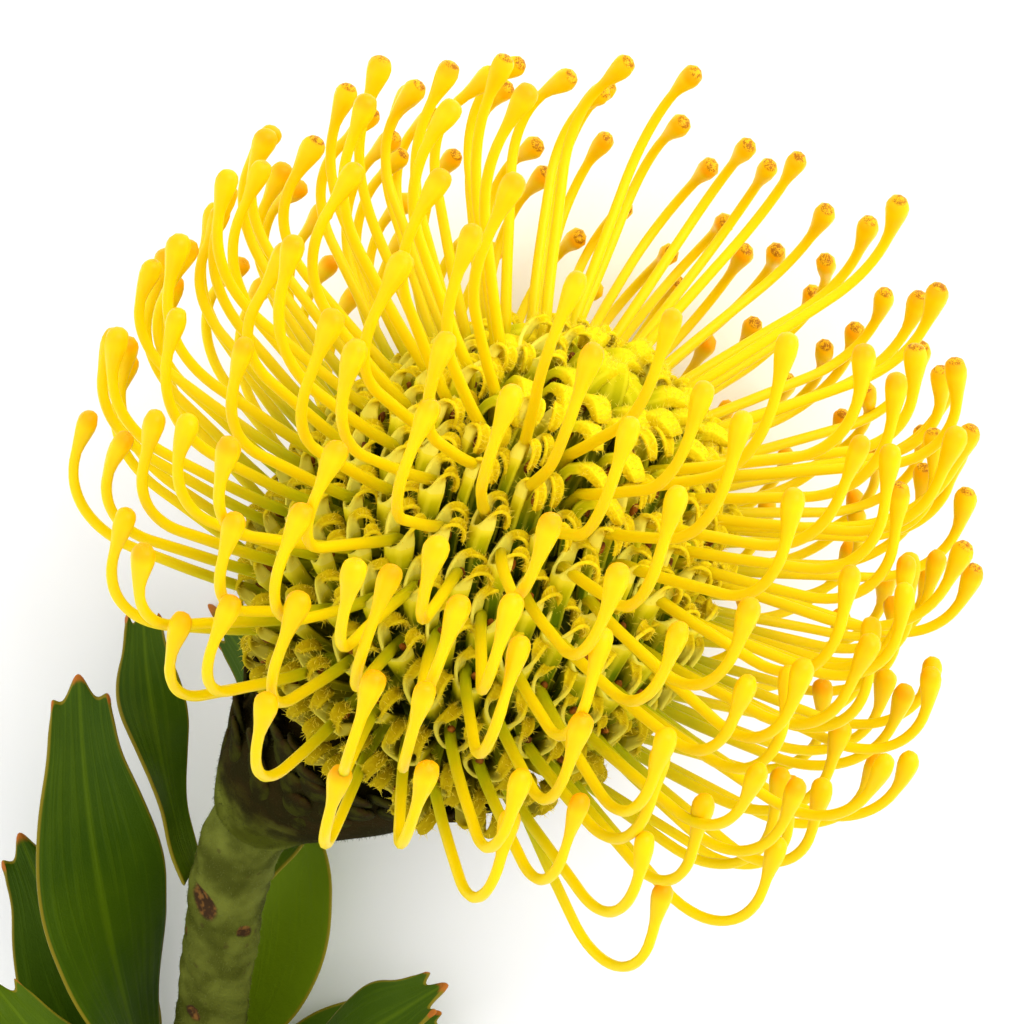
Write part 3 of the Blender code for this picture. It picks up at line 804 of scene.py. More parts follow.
def floret_material(bloom, inside):
    """Green foot with painted shade between the florets, ribs with pale painted highlight stripes, a pale
    rim with a painted highlight, gold arms, painted shade in brown low on the dome, and golden at the apex.
    """
    paint = Paint("floret_lining" if inside else "floret_wall", 0.7, gloss=0.02)
    height = paint.attribute("height")
    across = paint.attribute("across")
    polar = paint.attribute("polar")
    ribs = calculate(paint.tree, "COSINE", paint.times(across, 12.5))
    lane = calculate(paint.tree, "ABSOLUTE", across)
    # Darker green towards the root: the floret's own green foot, with painted shade in the gaps between
    # florets
    colour = paint.over(bloom.floret_foot_and_shade, bloom.floret_green, paint.between(height, 0.42, 0.92))
    # Inside the gutter the wall is darker again: painted shade
    if inside:
        colour = paint.over(colour, bloom.floret_foot_and_shade, 0.6)
    else:
        # Pale stripes on the ribs: painted satin highlights
        rib_highlights = paint.over(colour, bloom.floret_rim_and_highlight, 0.28)
        colour = paint.over(colour, rib_highlights, paint.between(ribs, -0.2, 1.0))
    # The mouth is paler, partly its own colour and partly a painted highlight, and its very edge takes a
    # painted highlight
    colour = paint.over(colour, bloom.floret_rim_and_highlight, paint.between(height, 0.80, 1.0))
    colour = paint.over(colour, RIM_PAINTED_HIGHLIGHT, paint.between(height, 0.965, 1.0))
    downy = paint.times(paint.patches(2600.0, 0.42, 0.62), 0.35)
    ridge = paint.plus(paint.between(lane, 0.50, 0.36), paint.between(lane, 0.80, 0.98))
    downy = paint.plus(downy, paint.times(ridge, 0.6), clamp=True)
    arm = paint.over(bloom.arm_gold, ARM_MARGIN, downy)
    colour = paint.over(colour, arm, paint.between("arm", 0.10, 0.38))
    # Painted shade in brown over the lower side of the dome
    colour = paint.over(colour, LOW_PAINTED_SHADE, paint.between(polar, 0.45, 1.0), 0.72)
    colour = paint.over(colour, APEX_GOLD, paint.between(polar, 0.35, 0.10), 0.35)
    relief = paint.plus(paint.times(ribs, 0.5), paint.grain(1800.0, 0.6))
    return paint.finish(colour, relief, 0.28, 0.12 * MM)


def plain_material(name, first, second, scale, roughness):
    """Two colours in soft patches over a fine relief."""
    paint = Paint(name, roughness, gloss=0.2)
    colour = paint.over(first, second, paint.patches(scale, 0.4, 0.62))
    return paint.finish(colour, paint.grain(900.0, 0.6), 0.5, 0.15 * MM)


def hair_material(name, foot, tip):
    paint = Paint(name, 0.55, gloss=0.15)
    return paint.finish(paint.over(foot, tip, paint.attribute("along")))


def young_bark(paint, stem):
    """The mottled green of the stem, which runs on over the collar's foot."""
    return paint.over(stem.bark, stem.bark_pale, paint.patches(170.0, 0.35, 0.7))


def bark_material(stem):
    paint = Paint("downy_bark", 0.75, gloss=0.08)
    place = node(paint.tree, "ShaderNodeTexCoord").outputs["Object"]
    specks = node(paint.tree, "ShaderNodeTexVoronoi", Scale=420.0, Vector=place).outputs["Distance"]
    scar = paint.between("scar", 0.35, 0.75)
    crust = paint.over(stem.scar, SCAR_CRUST, paint.patches(900.0, 0.45, 0.65))
    colour = paint.over(young_bark(paint, stem), stem.scar, paint.between(specks, 0.20, 0.10), 0.4)
    colour = paint.over(colour, crust, scar)
    colour = paint.over(colour, stem.wood, paint.between("cut", 0.4, 0.6))
    return paint.finish(colour, paint.plus(paint.grain(700.0, 0.7), scar), 0.6, 0.25 * MM)


def collar_material(stem):
    paint = Paint("downy_collar", 0.85, gloss=0.03)
    patches = paint.patches(240.0, 0.4, 0.65)
    # The collar's top under the dome takes the bracts' colour: their own dark brown, darkened near to black
    # as painted shade
    bract_tone_and_shade = paint.over(stem.bract, stem.bract_edge, patches, 0.5)
    rise = paint.plus(paint.attribute("height"), paint.times(patches, -0.12))
    colour = paint.over(young_bark(paint, stem), bract_tone_and_shade, paint.between(rise, 0.0, 0.34))
    return paint.finish(colour, paint.grain(700.0, 0.8), 0.6, 0.25 * MM)


def bract_material(stem):
    paint = Paint("bract", 0.85, gloss=0.03)
    # The bract colour is their own dark brown with painted shade from under the dome
    colour = paint.over(stem.bract, stem.bract_edge, paint.between("along", 0.55, 1.0))
    colour = paint.over(colour, stem.bark, paint.patches(500.0, 0.4, 0.65), 0.4)
    return paint.finish(colour, paint.grain(900.0, 0.8), 0.5, 0.2 * MM)


def leaf_material(leaf):
    """A blade in two greens, with long veins, a midrib, a pale foot, a yellow margin and red calluses; the
    sixth leaf's paler green is a painted glow of light shining through it.
    """
    paint = Paint("leathery_blade", 0.45, gloss=0.08)
    paint.set("Coat Weight", 0.01)
    paint.set("Coat Roughness", 0.35)
    across = paint.attribute("across")
    share = paint.attribute("share")
    patches = paint.times(paint.patches(55.0, 0.3, 0.75), 0.17)
    # Each leaf's own paler tone; on the sixth leaf it is mostly a painted glow of light from behind
    tone_and_glow = paint.plus(patches, paint.attribute("tone_and_glow"), clamp=True)
    colour = paint.over(leaf.blade, leaf.blade_pale, tone_and_glow)
    along_blade = node(
        paint.tree, "ShaderNodeCombineXYZ", X=paint.times(across, 9.0), Y=paint.times(share, 2.2),
        Z=paint.attribute("dice"),
    ).outputs[0]
    veins = node(
        paint.tree, "ShaderNodeTexNoise", noise_dimensions="3D", Scale=1.0, Detail=3.0, Vector=along_blade,
    ).outputs[0]
    vein = paint.between(veins, 0.47, 0.62)
    colour = paint.over(colour, leaf.blade_pale, vein, 0.11)
    midrib = paint.between(calculate(paint.tree, "ABSOLUTE", across), 0.09, 0.02)
    colour = paint.over(colour, leaf.blade_pale, midrib, 0.30)
    colour = paint.over(colour, leaf.blade_pale, paint.between(share, 0.30, 0.02), 0.42)
    colour = paint.over(colour, leaf.margin, paint.between("edge", 0.42, 0.12), 0.7)
    colour = paint.over(colour, leaf.callus, paint.between("callus", 0.35, 0.85))
    relief = paint.plus(paint.times(vein, 0.6), paint.grain(900.0, 0.5))
    return paint.finish(colour, relief, 0.3, 0.2 * MM)


# Hairs

def grow_hairs(name, source, count, length, width, lean, seed):
    """Slim three-sided needles over a piece's surface, densest where its down attribute is high."""
    mesh = source.data
    mesh.calc_loop_triangles()
    corners = np.empty(len(mesh.loop_triangles) * 3, np.int32)
    mesh.loop_triangles.foreach_get("vertices", corners)
    corners = corners.reshape(-1, 3)
    points = points_of(mesh)
    weights = values_of(mesh, "down")[corners].mean(axis=1)
    first, second, third = (points[corners[:, place]] for place in range(3))
    normals = np.cross(second - first, third - first)
    areas = np.linalg.norm(normals, axis=1)
    normals /= np.maximum(areas, 1e-15)[:, None]
    dice = np.random.RandomState(seed)
    chances = areas * np.maximum(weights, 0.0)
    chosen = dice.choice(len(corners), size=count, p=chances / chances.sum())
    one, two = dice.rand(count), dice.rand(count)
    over = one + two > 1.0
    one[over], two[over] = 1.0 - one[over], 1.0 - two[over]
    roots = first[chosen] + (second - first)[chosen] * one[:, None] + (third - first)[chosen] * two[:, None]
    ahead = normals[chosen] + lean * dice.normal(size=(count, 3))
    ahead /= np.linalg.norm(ahead, axis=1)[:, None]
    side = np.cross(ahead, dice.normal(size=(count, 3)))
    side /= np.maximum(np.linalg.norm(side, axis=1), 1e-9)[:, None]
    other = np.cross(ahead, side)
    roots -= normals[chosen] * HAIR_SINK
    shortest, growth = HAIR_LENGTHS
    tips = roots + ahead * (length * (shortest + growth * dice.rand(count)))[:, None]
    radius = 0.5 * width
    ring = [
        roots + radius * (math.cos(turn) * side + math.sin(turn) * other) for turn in (0.0, 2.094, 4.189)
    ]
    needles = np.stack(ring + [tips], axis=1).reshape(-1, 3)
    base = np.arange(count)[:, None] * 4
    faces = np.concatenate([base + [0, 1, 3], base + [1, 2, 3], base + [2, 0, 3], base + [2, 1, 0]])
    made = bpy.data.meshes.new(name)
    made.from_pydata(needles.tolist(), [], faces.tolist())
    put_values(made, "along", np.tile([0.0, 0.0, 0.0, 1.0], count))
    piece = bpy.data.objects.new(name, made)
    bpy.context.scene.collection.objects.link(piece)
    return piece


# Bloom

def core_piece():
    """The receptacle that carries the florets, cut flat where the collar starts."""
    piece = add("ico_sphere", "bloom_core", subdivisions=5, radius=CORE_RADIUS)
    points = points_of(piece.data)
    points[:, 2] *= np.where(points[:, 2] > 0.0, STRETCH_UP, CORE_STRETCH_DOWN)
    bumps = np.sin(points * CORE_WAVES).prod(axis=1)
    points *= (1.0 + CORE_BUMP * bumps)[:, None]
    put_points(piece.data, points)
    bpy.ops.object.mode_set(mode="EDIT")
    bpy.ops.mesh.select_all(action="SELECT")
    bpy.ops.mesh.bisect(
        plane_co=(0.0, 0.0, CORE_FLOOR), plane_no=(0.0, 0.0, 1.0), use_fill=True, clear_inner=True,
    )
    bpy.ops.object.mode_set(mode="OBJECT")
    piece.data.transform(POSE)
    recalculate_normals(piece)
    smooth_shading(piece)
    return piece


def gutter(name, rows):
    """A sheet with a lane for each column of a floret's wall and the given rows, root to mouth."""
    piece = add("grid", name, x_subdivisions=FLORET_COLUMNS, y_subdivisions=rows - 1, size=2.0)
    points = points_of(piece.data)
    put_values(piece.data, "across", points[:, 0])
    put_values(piece.data, "height", 0.5 * (points[:, 1] + 1.0))
    put_values(piece.data, "arm", np.zeros(len(points)))
    return piece


def walled(piece):
    """Rounds a floret's sheet and gives it its wall, with the lining as a second material."""
    mesh = piece.data
    points = points_of(mesh)
    belly = np.sin(np.pi * np.clip(points[:, 2] / (FLORET_ROWS[-1][0] * MM), 0.0, 1.0))
    points[:, 1] -= FLORET_BELLY * MM * belly
    put_points(mesh, points)
    mesh.materials.append(None)
    mesh.materials.append(None)
    recalculate_normals(piece)
    subdivide(piece)
    apply_modifier(piece, "SOLIDIFY", thickness=FLORET_WALL * MM, offset=-1.0, material_offset=1)
    recalculate_normals(piece)
    smooth_shading(piece)
    return piece


def open_floret():
    """A floret split down its back: a low pale rim in front, and an arm from each side that curls back."""
    rows = len(FLORET_ROWS)
    piece = gutter("open_floret", rows)
    mesh = piece.data
    for vertex in mesh.vertices:
        row = round((vertex.co.y + 1.0) * 0.5 * (rows - 1))
        rise, half_width, half_depth = FLORET_ROWS[row]
        turn = vertex.co.x * FLORET_WRAP
        x = half_width * math.copysign(abs(math.sin(turn)) ** FLORET_SQUARENESS, turn)
        y = -half_depth * math.copysign(abs(math.cos(turn)) ** FLORET_SQUARENESS, math.cos(turn))
        if row == rows - 1:
            front = smooth(1.0 - abs(turn) / FLORET_FRONT)
            rise -= FLORET_NECK * front
            y -= FLORET_FLARE * front
        vertex.co = Vector((x, y, rise)) * MM
    for side in (-1.0, 1.0):
        grow_arm(piece, side)
    return walled(piece)


def rim_edges(mesh, side):
    """The edges of the sheet's mouth on one side, behind its low front."""
    across = values_of(mesh, "across")
    height = values_of(mesh, "height")
    for edge in mesh.edges:
        one, two = edge.vertices
        if min(height[one], height[two]) > 0.99 and side * (across[one] + across[two]) > 0.8:
            yield edge


def grow_arm(piece, side):
    """Extrudes one side of the mouth step by step along the arm's line, with its middle lane sunk."""
    mesh = piece.data
    take(piece)
    edges = list(rim_edges(mesh, side))
    for part in (mesh.vertices, mesh.edges, mesh.polygons):
        for item in part:
            item.select = False
    for edge in edges:
        edge.select = True
        for vertex in edge.vertices:
            mesh.vertices[vertex].select = True
    for count, line in enumerate(ARM_LINE):
        bpy.ops.object.mode_set(mode="EDIT")
        bpy.ops.mesh.select_mode(type="EDGE")
        bpy.ops.mesh.extrude_region_move(TRANSFORM_OT_translate={"value": (0.0, 0.0, 0.1 * MM)})
        bpy.ops.object.mode_set(mode="OBJECT")
        ahead = Vector(ARM_LINE[min(count + 1, len(ARM_LINE) - 1)]) - Vector(ARM_LINE[max(count - 1, 0)])
        ahead.x *= side
        ahead.normalize()
        turn = ARM_TURNS[count] * 0.5 * math.pi
        width = Vector((-side * math.sin(turn), math.cos(turn), 0.0))
        width = (width - ahead * width.dot(ahead)).normalized()
        outer = side * ahead.cross(width)
        middle = Vector((side * line[0], line[1], line[2]))
        arm = values_of(mesh, "arm")
        across = values_of(mesh, "across")
        for vertex in mesh.vertices:
            if vertex.select:
                lane = (abs(across[vertex.index]) - 2.0 / 3.0) * 3.0
                sunk = ARM_VALLEY * (1.0 - abs(lane))
                place = middle + width * (lane * ARM_WIDTHS[count]) - outer * sunk
                vertex.co = place * MM
                arm[vertex.index] = (count + 1) / len(ARM_LINE)
        put_values(mesh, "arm", arm)


def hooded_floret():
    """A young floret: its gutter rolls over backwards and ends in a downy tip."""
    piece = gutter("hooded_floret", HOOD_ROWS)
    mesh = piece.data
    arms = []
    for vertex in mesh.vertices:
        share = 0.5 * (vertex.co.y + 1.0)
        turn = vertex.co.x * FLORET_WRAP
        length = share * (HOOD_START + HOOD_TURN * HOOD_RADIUS)
        bent = max(length - HOOD_START, 0.0) / HOOD_RADIUS
        closing = 1.0 - HOOD_CLOSING * smooth((share - 0.72) / 0.28)
        half_width, half_depth = (
            (narrow + growth * smooth(share / 0.6)) * closing for narrow, growth in (HOOD_WIDTH, HOOD_DEPTH)
        )
        middle = Vector((0.0, HOOD_RADIUS * (1.0 - math.cos(bent)), min(length, HOOD_START)))
        middle.z += HOOD_RADIUS * math.sin(bent)
        outer = Vector((0.0, -math.cos(bent), math.sin(bent)))
        raised = HOOD_RIDGE[0] * math.exp(-((abs(vertex.co.x) - HOOD_RIDGE[1]) / HOOD_RIDGE[2]) ** 2)
        raised -= HOOD_VALLEY[0] * math.exp(-(vertex.co.x / HOOD_VALLEY[1]) ** 2)
        raised *= smooth((share - 0.45) / 0.3)
        place = middle + outer * (half_depth * math.cos(turn) + raised)
        place.x += half_width * math.sin(turn)
        vertex.co = place * MM
        arms.append(smooth((share - 0.74) / 0.26))
    put_values(mesh, "arm", arms)
    return walled(piece)


def florets_piece():
    """All the florets, each a copy set on the dome with its own lean, turn and curl."""
    masters = (open_floret(), hooded_floret())
    rests = [points_of(master.data) for master in masters]
    arms = [values_of(master.data, "arm") for master in masters]
    made = []
    for index in range(FLORET_COUNT):
        polar, _ = floret_angles(index)
        dice = random.Random(FLORET_SEED + index)
        kind = 1 if polar < dice.uniform(*HOOD_POLAR) else 0
        twist = Matrix.Rotation(FLORET_TWIST * dice.uniform(-1.0, 1.0), 4, "Z")
        size = Matrix.Diagonal([dice.uniform(*limits) for limits in FLORET_SCALES] + [1.0])
        points = rests[kind].copy()
        for axis, (power, low, high) in enumerate(ARM_SCATTER):
            points[:, axis] += arms[kind] ** power * dice.uniform(low, high) * MM
        piece = copy_of(masters[kind])
        put_points(piece.data, points)
        piece.data.transform(floret_place(index) @ twist @ size)
        put_values(piece.data, "polar", [polar / FLORET_POLAR_END] * len(points))
        made.append(piece)
    for master in masters:
        remove(master)
    return joined(made, "bloom_florets")


def anthers_piece():
    """An anther in the mouth of each floret."""
    master = add("ico_sphere", "anther", subdivisions=2, radius=1.0)
    points = points_of(master.data)
    points[:, 0] *= 1.0 - ANTHER_WAIST * np.exp(-(points[:, 1] * 4.0) ** 2)
    put_points(master.data, points * np.array(ANTHER_SIZE) * MM)
    smooth_shading(master)
    made = []
    for index in range(FLORET_COUNT):
        dice = random.Random(ANTHER_SEED + index)
        side = dice.choice((-1.0, 1.0))
        offset = Vector([dice.uniform(*limits) for limits in ANTHER_PLACE])
        offset.x *= side
        nod = Matrix.Rotation(ANTHER_NOD * dice.uniform(-1.0, 1.0), 4, "X")
        piece = copy_of(master)
        piece.data.transform(floret_place(index) @ Matrix.Translation(offset * MM) @ nod)
        made.append(piece)
    remove(master)
    return joined(made, "bloom_anthers")


def under_side(azimuth):
    """1 for the styles that grow straight to the floor, and 0 for the upper half."""
    return max(-math.cos(azimuth), 0.0)


def tip_heading(polar, azimuth, spread):
    """The way a presenter points: in over the bloom's axis, most on the lower side, the rest also to +Y."""
    under = under_side(azimuth)
    lean = (TIP_LEAN + TIP_LEAN_UNDER * under + spread) * smooth(polar / TIP_START)
    heading = meridian(-lean, azimuth)
    heading.y += TIP_DRIFT * (1.0 - under)
    return heading.normalized()


def pressed(point, radius):
    """Lifts a point of the plant so that a round of this radius lies on the floor."""
    world = POSE @ point
    rest = FLOOR_LEVEL + radius
    over = (world.z + FLOOR_PRESS - rest) / FLOOR_SOFTNESS
    if over > FLOOR_FREE:
        return world
    lifted = rest + FLOOR_SOFTNESS * math.log1p(math.exp(over)) - FLOOR_PRESS
    world.z = max(lifted, rest)
    return world


def style_radius(before_tip, shaft):
    distances = [-reach * MM for reach, _ in PRESENTER]
    radii = [radius * MM for _, radius in PRESENTER]
    radii[0] = shaft
    return float(np.interp(before_tip, distances, radii))


def style_path(index, shaft):
    """Points in the world and distances along a style: out from the floret, then a hook to the axis."""
    polar, azimuth = floret_angles(index)
    dice = random.Random(STYLE_SEED + index)
    mouth_polar = polar - STYLE_MOUTH_LEAN * floret_lean(polar)
    start = on_dome(mouth_polar, azimuth, STYLE_MOUTH_RADIUS)
    reach = STYLE_REACH + STYLE_REACH_SPREAD * dice.uniform(-1.0, 1.0)
    reach -= STYLE_TOP_SAVING * max(math.cos(polar), 0.0) ** 2
    reach -= STYLE_SIDE_REACH * math.sin(azimuth) * math.sin(polar)
    outward = polar * STYLE_FAN - STYLE_FOLD * max(polar - STYLE_FOLD_POLAR, 0.0)
    outward += STYLE_SPREAD * dice.uniform(-1.0, 1.0)
    if index in STRAY_STYLES:
        outward += STRAY_TURN
        reach += STRAY_REACH
    tip = tip_heading(polar, azimuth, TIP_SPREAD * dice.uniform(-1.0, 1.0))
    bend_middle = HOOK_PLACE + HOOK_DELAY * under_side(azimuth)
    bend_middle += HOOK_SCATTER * dice.uniform(-1.0, 1.0)
    bend_half = dice.uniform(*HOOK_HALF)
    swing = STYLE_SWING * dice.uniform(-1.0, 1.0)
    points = [on_dome(mouth_polar, azimuth, STYLE_START_RADIUS)]
    marks = [STYLE_START_RADIUS - STYLE_MOUTH_RADIUS]
    here = start.copy()
    step = reach / PATH_STEPS
    for count in range(PATH_STEPS + 1):
        share = count / PATH_STEPS
        points.append(here.copy())
        marks.append(count * step)
        bent = min(max((share - bend_middle + bend_half) / (2.0 * bend_half), 0.0), 1.0)
        turn = HOOK_ROUNDNESS * bent + (1.0 - HOOK_ROUNDNESS) * smooth(bent)
        bow = STYLE_BOW * outward * math.sin(math.pi * min(share / bend_middle, 1.0))
        heading = meridian(outward - bow, azimuth + swing * share)
        heading.y -= STYLE_DRIFT
        here += heading.normalized().slerp(tip, turn) * step
    world = [pressed(point, style_radius(mark - reach, shaft)) for point, mark in zip(points, marks)]
    return np.array(world), np.array(marks), reach


def ring_marks(points, marks, reach):
    """Where a style's rings stand: closer together in its hook, then the presenter's own."""
    club = reach - PRESENTER[0][0] * MM
    steps = np.diff(points, axis=0)
    lengths = np.linalg.norm(steps, axis=1)
    ways = steps / np.maximum(lengths, 1e-9)[:, None]
    turns = np.arccos(np.clip((ways[1:] * ways[:-1]).sum(axis=1), -1.0, 1.0))
    measure = np.concatenate([[0.0], np.cumsum(lengths / RING_LENGTH + np.append(turns, 0.0) / RING_TURN)])
    ends = np.interp([0.0, club], marks, measure)
    shaft = np.interp(np.linspace(ends[0], ends[1], SHAFT_RINGS), measure, marks)
    before = [marks[0] * share for share in FOOT_RINGS]
    presenter = [reach - distance * MM for distance, _ in PRESENTER[1:]]
    return np.concatenate([before, shaft, presenter])


def styles_piece(bloom):
    """All the styles: one straight master, each copy bent along its own path."""
    back = view_axes()[2]
    rings = len(FOOT_RINGS) + SHAFT_RINGS + len(PRESENTER) - 1
    master = tube("style", STYLE_SIDES, rings)
    smooth_shading(master)
    rest = points_of(master.data)
    ring = np.round(rest[:, 2]).astype(int)
    last = rings - 1
    stigma = np.interp(ring, [last - 4, last - 3, last - 2, last - 1, last], STIGMA_RINGS)
    made = []
    for index in range(FLORET_COUNT):
        polar, _ = floret_angles(index)
        if not STYLE_POLAR_START < polar < STYLE_POLAR_END:
            continue
        path, marks, reach = style_path(index, bloom.style_radius)
        at = ring_marks(path, marks, reach)
        beyond = np.maximum(at - marks[-1], 0.0)
        centres = np.stack([np.interp(at, marks, path[:, axis]) for axis in range(3)], axis=1)
        way = path[-1] - path[-2]
        centres += (way / np.linalg.norm(way))[None, :] * beyond[:, None]
        ways = np.gradient(centres, axis=0)
        ways /= np.linalg.norm(ways, axis=1)[:, None]
        side = np.cross(ways[0], STYLE_ASIDE)
        sides = []
        for way in ways:
            side = side - way * side.dot(way)
            side /= np.linalg.norm(side)
            sides.append(side)
        sides = np.array(sides)
        others = np.cross(ways, sides)
        shaft = bloom.style_radius * (1.0 + STYLE_FOOT_SWELL * np.clip(1.0 - at / reach * 2.0, 0.0, 1.0))
        radii = np.array([style_radius(mark - reach, thick) for mark, thick in zip(at, shaft)])
        dice = random.Random(PRESENTER_SEED + index)
        plump = dice.uniform(*PRESENTER_PLUMPNESS)
        on_rim = (Vector(path[-1]) - DOME_MIDDLE).dot(back) < STIGMA_DEPTH
        spotted = dice.uniform(*(STIGMA_RIM if on_rim and path[-1, 0] > STIGMA_PLACE else STIGMA_FRONT))
        flat = 1.0 - PRESENTER_FLATNESS * smooth_all((at - reach) / FLAT_LENGTH + 1.0)
        radii *= np.where(at > reach - PRESENTER[0][0] * MM, plump, 1.0)
        points = centres[ring] + (sides * radii[:, None])[ring] * rest[:, :1]
        points += (others * (radii * flat)[:, None])[ring] * rest[:, 1:2]
        piece = copy_of(master)
        put_points(piece.data, points)
        early = GREEN_LOSS * (1.0 - smooth((polar - GREEN_POLAR) / GREEN_POLAR))
        put_values(piece.data, "along", (at / reach)[ring] + early)
        put_values(piece.data, "stigma", stigma * spotted)
        blush = smooth_all((at - reach) / BLUSH_LENGTH + 1.0)[ring]
        put_values(piece.data, "blush", blush * dice.uniform(*BLUSH_STRENGTH))
        made.append(piece)
    remove(master)
    return joined(made, "bloom_styles")


# Collar

def collar_skew(height):
    """How far the collar leans sideways at a height, on its way to the stem."""
    return COLLAR_SKEW * smooth((CORE_FLOOR - height) / (CORE_FLOOR - COLLAR_FOOT))


def collar_radius(height):
    heights = [height * MM for _, height in reversed(COLLAR_PROFILE)]
    radii = [share * COLLAR_TOP_RADIUS for share, _ in reversed(COLLAR_PROFILE)]
    return float(np.interp(height, heights, radii))


def collar_piece():
    """The cup under the dome, drawn down to the stem, with low swellings."""
    piece = tube("involucre_cup", COLLAR_SIDES, COLLAR_RINGS)
    top = CORE_FLOOR - GAP
    values = []
    for vertex in piece.data.vertices:
        share = vertex.co.z / (COLLAR_RINGS - 1)
        height = top + (COLLAR_FOOT - top) * share
        turn = math.atan2(vertex.co.y, vertex.co.x)
        radius = collar_radius(height)
        radius += COLLAR_SWELL * math.sin(3.0 * turn + 9.0 * share) * smooth(4.0 * share) * (1.0 - share)
        vertex.co = Vector((radius * math.cos(turn), radius * math.sin(turn) + collar_skew(height), height))
        values.append(1.0 - share)
    put_values(piece.data, "height", values)
    put_values(piece.data, "down", [1.0] * len(values))
    piece.data.transform(POSE)
    recalculate_normals(piece)
    subdivide(piece)
    smooth_shading(piece)
    return piece


def bract_master():
    """One small pointed bract, cupped along its middle."""
    piece = add("grid", "bract", x_subdivisions=4, y_subdivisions=5, size=2.0)
    base, span, fullness = BRACT_OUTLINE
    along = []
    for vertex in piece.data.vertices:
        share = 0.5 * (vertex.co.y + 1.0)
        half = 0.5 * BRACT_WIDTH * (math.sin(math.pi * (base + span * share)) ** fullness)
        across = vertex.co.x
        cup = BRACT_CUP * half * across * across + BRACT_CURL * BRACT_LENGTH * share * share
        vertex.co = Vector((across * half, -cup, share * BRACT_LENGTH))
        along.append(share)
    put_values(piece.data, "along", along)
    put_values(piece.data, "down", [1.0] * len(along))
    apply_modifier(piece, "SOLIDIFY", thickness=BRACT_THICK, offset=0.0)
    recalculate_normals(piece)
    subdivide(piece)
    smooth_shading(piece)
    return piece


def bracts_piece():
    """Rows of bracts that overlap round the collar."""
    master = bract_master()
    made = []
    for row, (height, count, size, lean) in enumerate(BRACT_ROWS):
        for number in range(count):
            dice = random.Random(BRACT_SEED + BRACT_SEED_STEP * row + number)
            azimuth = (number + 0.5 * (row % 2) + dice.uniform(-0.12, 0.12)) / count * math.tau
            level = (height + dice.uniform(-0.5, 0.5)) * MM
            outward = Vector((math.cos(azimuth), math.sin(azimuth), 0.0))
            foot = outward * (collar_radius(level) - BRACT_SINK)
            foot += Vector((0.0, collar_skew(level), level))
            tilt = math.radians(lean + dice.uniform(-6.0, 8.0))
            ahead = Vector((0.0, 0.0, math.cos(tilt))) + outward * math.sin(tilt)
            place = standing(POSE @ foot, TURN @ ahead, TURN @ outward)
            piece = copy_of(master)
            scale = size * dice.uniform(0.88, 1.08)
            piece.data.transform(place @ Matrix.Scale(scale, 4))
            made.append(piece)
    remove(master)
    return joined(made, "involucre_bracts")


# Stem

def stem_centre(height):
    share = max((STEM_BEND - height) / (STEM_BEND - STEM_CUT), 0.0)
    return Vector((0.0, COLLAR_SKEW + STEM_SWAY * share ** STEM_CURVE, height))


def stem_radius(height):
    share = (height - STEM_CUT) / (COLLAR_FOOT - STEM_CUT)
    return STEM_CUT_RADIUS + (STEM_TOP_RADIUS - STEM_CUT_RADIUS) * share


def stem_piece():
    """The stem with swollen leaf feet, pitted scars and a cut end."""
    piece = tube("stem_bark", STEM_SIDES, STEM_RINGS)
    scars, cuts, downs = [], [], []
    for vertex in piece.data.vertices:
        share = vertex.co.z / (STEM_RINGS - 1)
        height = COLLAR_FOOT + STEM_HOLD + (STEM_CUT - COLLAR_FOOT - STEM_HOLD) * share
        turn = math.atan2(vertex.co.y, vertex.co.x)
        radius = stem_radius(height)
        swell = 0.0
        for depth, around, along in BARK_WAVES:
            swell += depth * math.sin(around * turn + along * share) * MM
        for leaf_height, azimuth, *_ in LEAVES:
            away = (height - leaf_height * MM) / FOOT_HEIGHT
            apart = math.remainder(turn - math.radians(azimuth), math.tau) * radius / FOOT_WIDTH
            swell += FOOT_SWELL * math.exp(-away * away - apart * apart)
        scar = 0.0
        for scar_height, azimuth, size, depth in SCARS:
            away = (height - scar_height * MM) / (size * 0.85 * MM)
            apart = math.remainder(turn - math.radians(azimuth), math.tau) * radius / (size * MM)
            reach = math.sqrt(away * away + apart * apart)
            scar = max(scar, 1.0 - smooth((reach - 0.5) / 0.9))
            rim = 0.7 * math.exp(-((reach - 1.3) * 2.6) ** 2)
            swell += depth * MM * (rim - math.exp(-(reach * 1.3) ** 2))
        fade = smooth(8.0 * share) * smooth(12.0 * (1.0 - share))
        radius += swell * fade
        vertex.co = stem_centre(height) + Vector((radius * math.cos(turn), radius * math.sin(turn), 0.0))
        scars.append(scar)
        cuts.append(0.0)
        downs.append((1.0 - scar) * (1.0 if share < BARE_END else 0.0))
    mesh = piece.data
    put_values(mesh, "scar", scars)
    put_values(mesh, "down", downs)
    put_values(mesh, "cut", cuts)
    cut_end(piece)
    mesh.transform(POSE)
    recalculate_normals(piece)
    smooth_shading(piece)
    take(piece)
    bpy.ops.object.shade_smooth_by_angle(angle=math.radians(50.0))
    return piece


def cut_end(piece):
    """Insets the stem's lower cap for its bark, wood and pith."""
    mesh = piece.data
    take(piece)
    bpy.ops.object.mode_set(mode="EDIT")
    bpy.ops.mesh.select_mode(type="FACE")
    bpy.ops.mesh.select_all(action="DESELECT")
    bpy.ops.object.mode_set(mode="OBJECT")
    lowest = min(mesh.polygons, key=lambda face: face.center.z)
    lowest.select = True
    known = len(mesh.vertices)
    bpy.ops.object.mode_set(mode="EDIT")
    for width, rise in CUT_STEPS:
        bpy.ops.mesh.inset(thickness=width * MM, depth=rise * MM)
    bpy.ops.mesh.poke()
    bpy.ops.object.mode_set(mode="OBJECT")
    cuts = values_of(mesh, "cut")
    cuts[known:] = 1.0
    put_values(mesh, "cut", cuts)


# Leaves

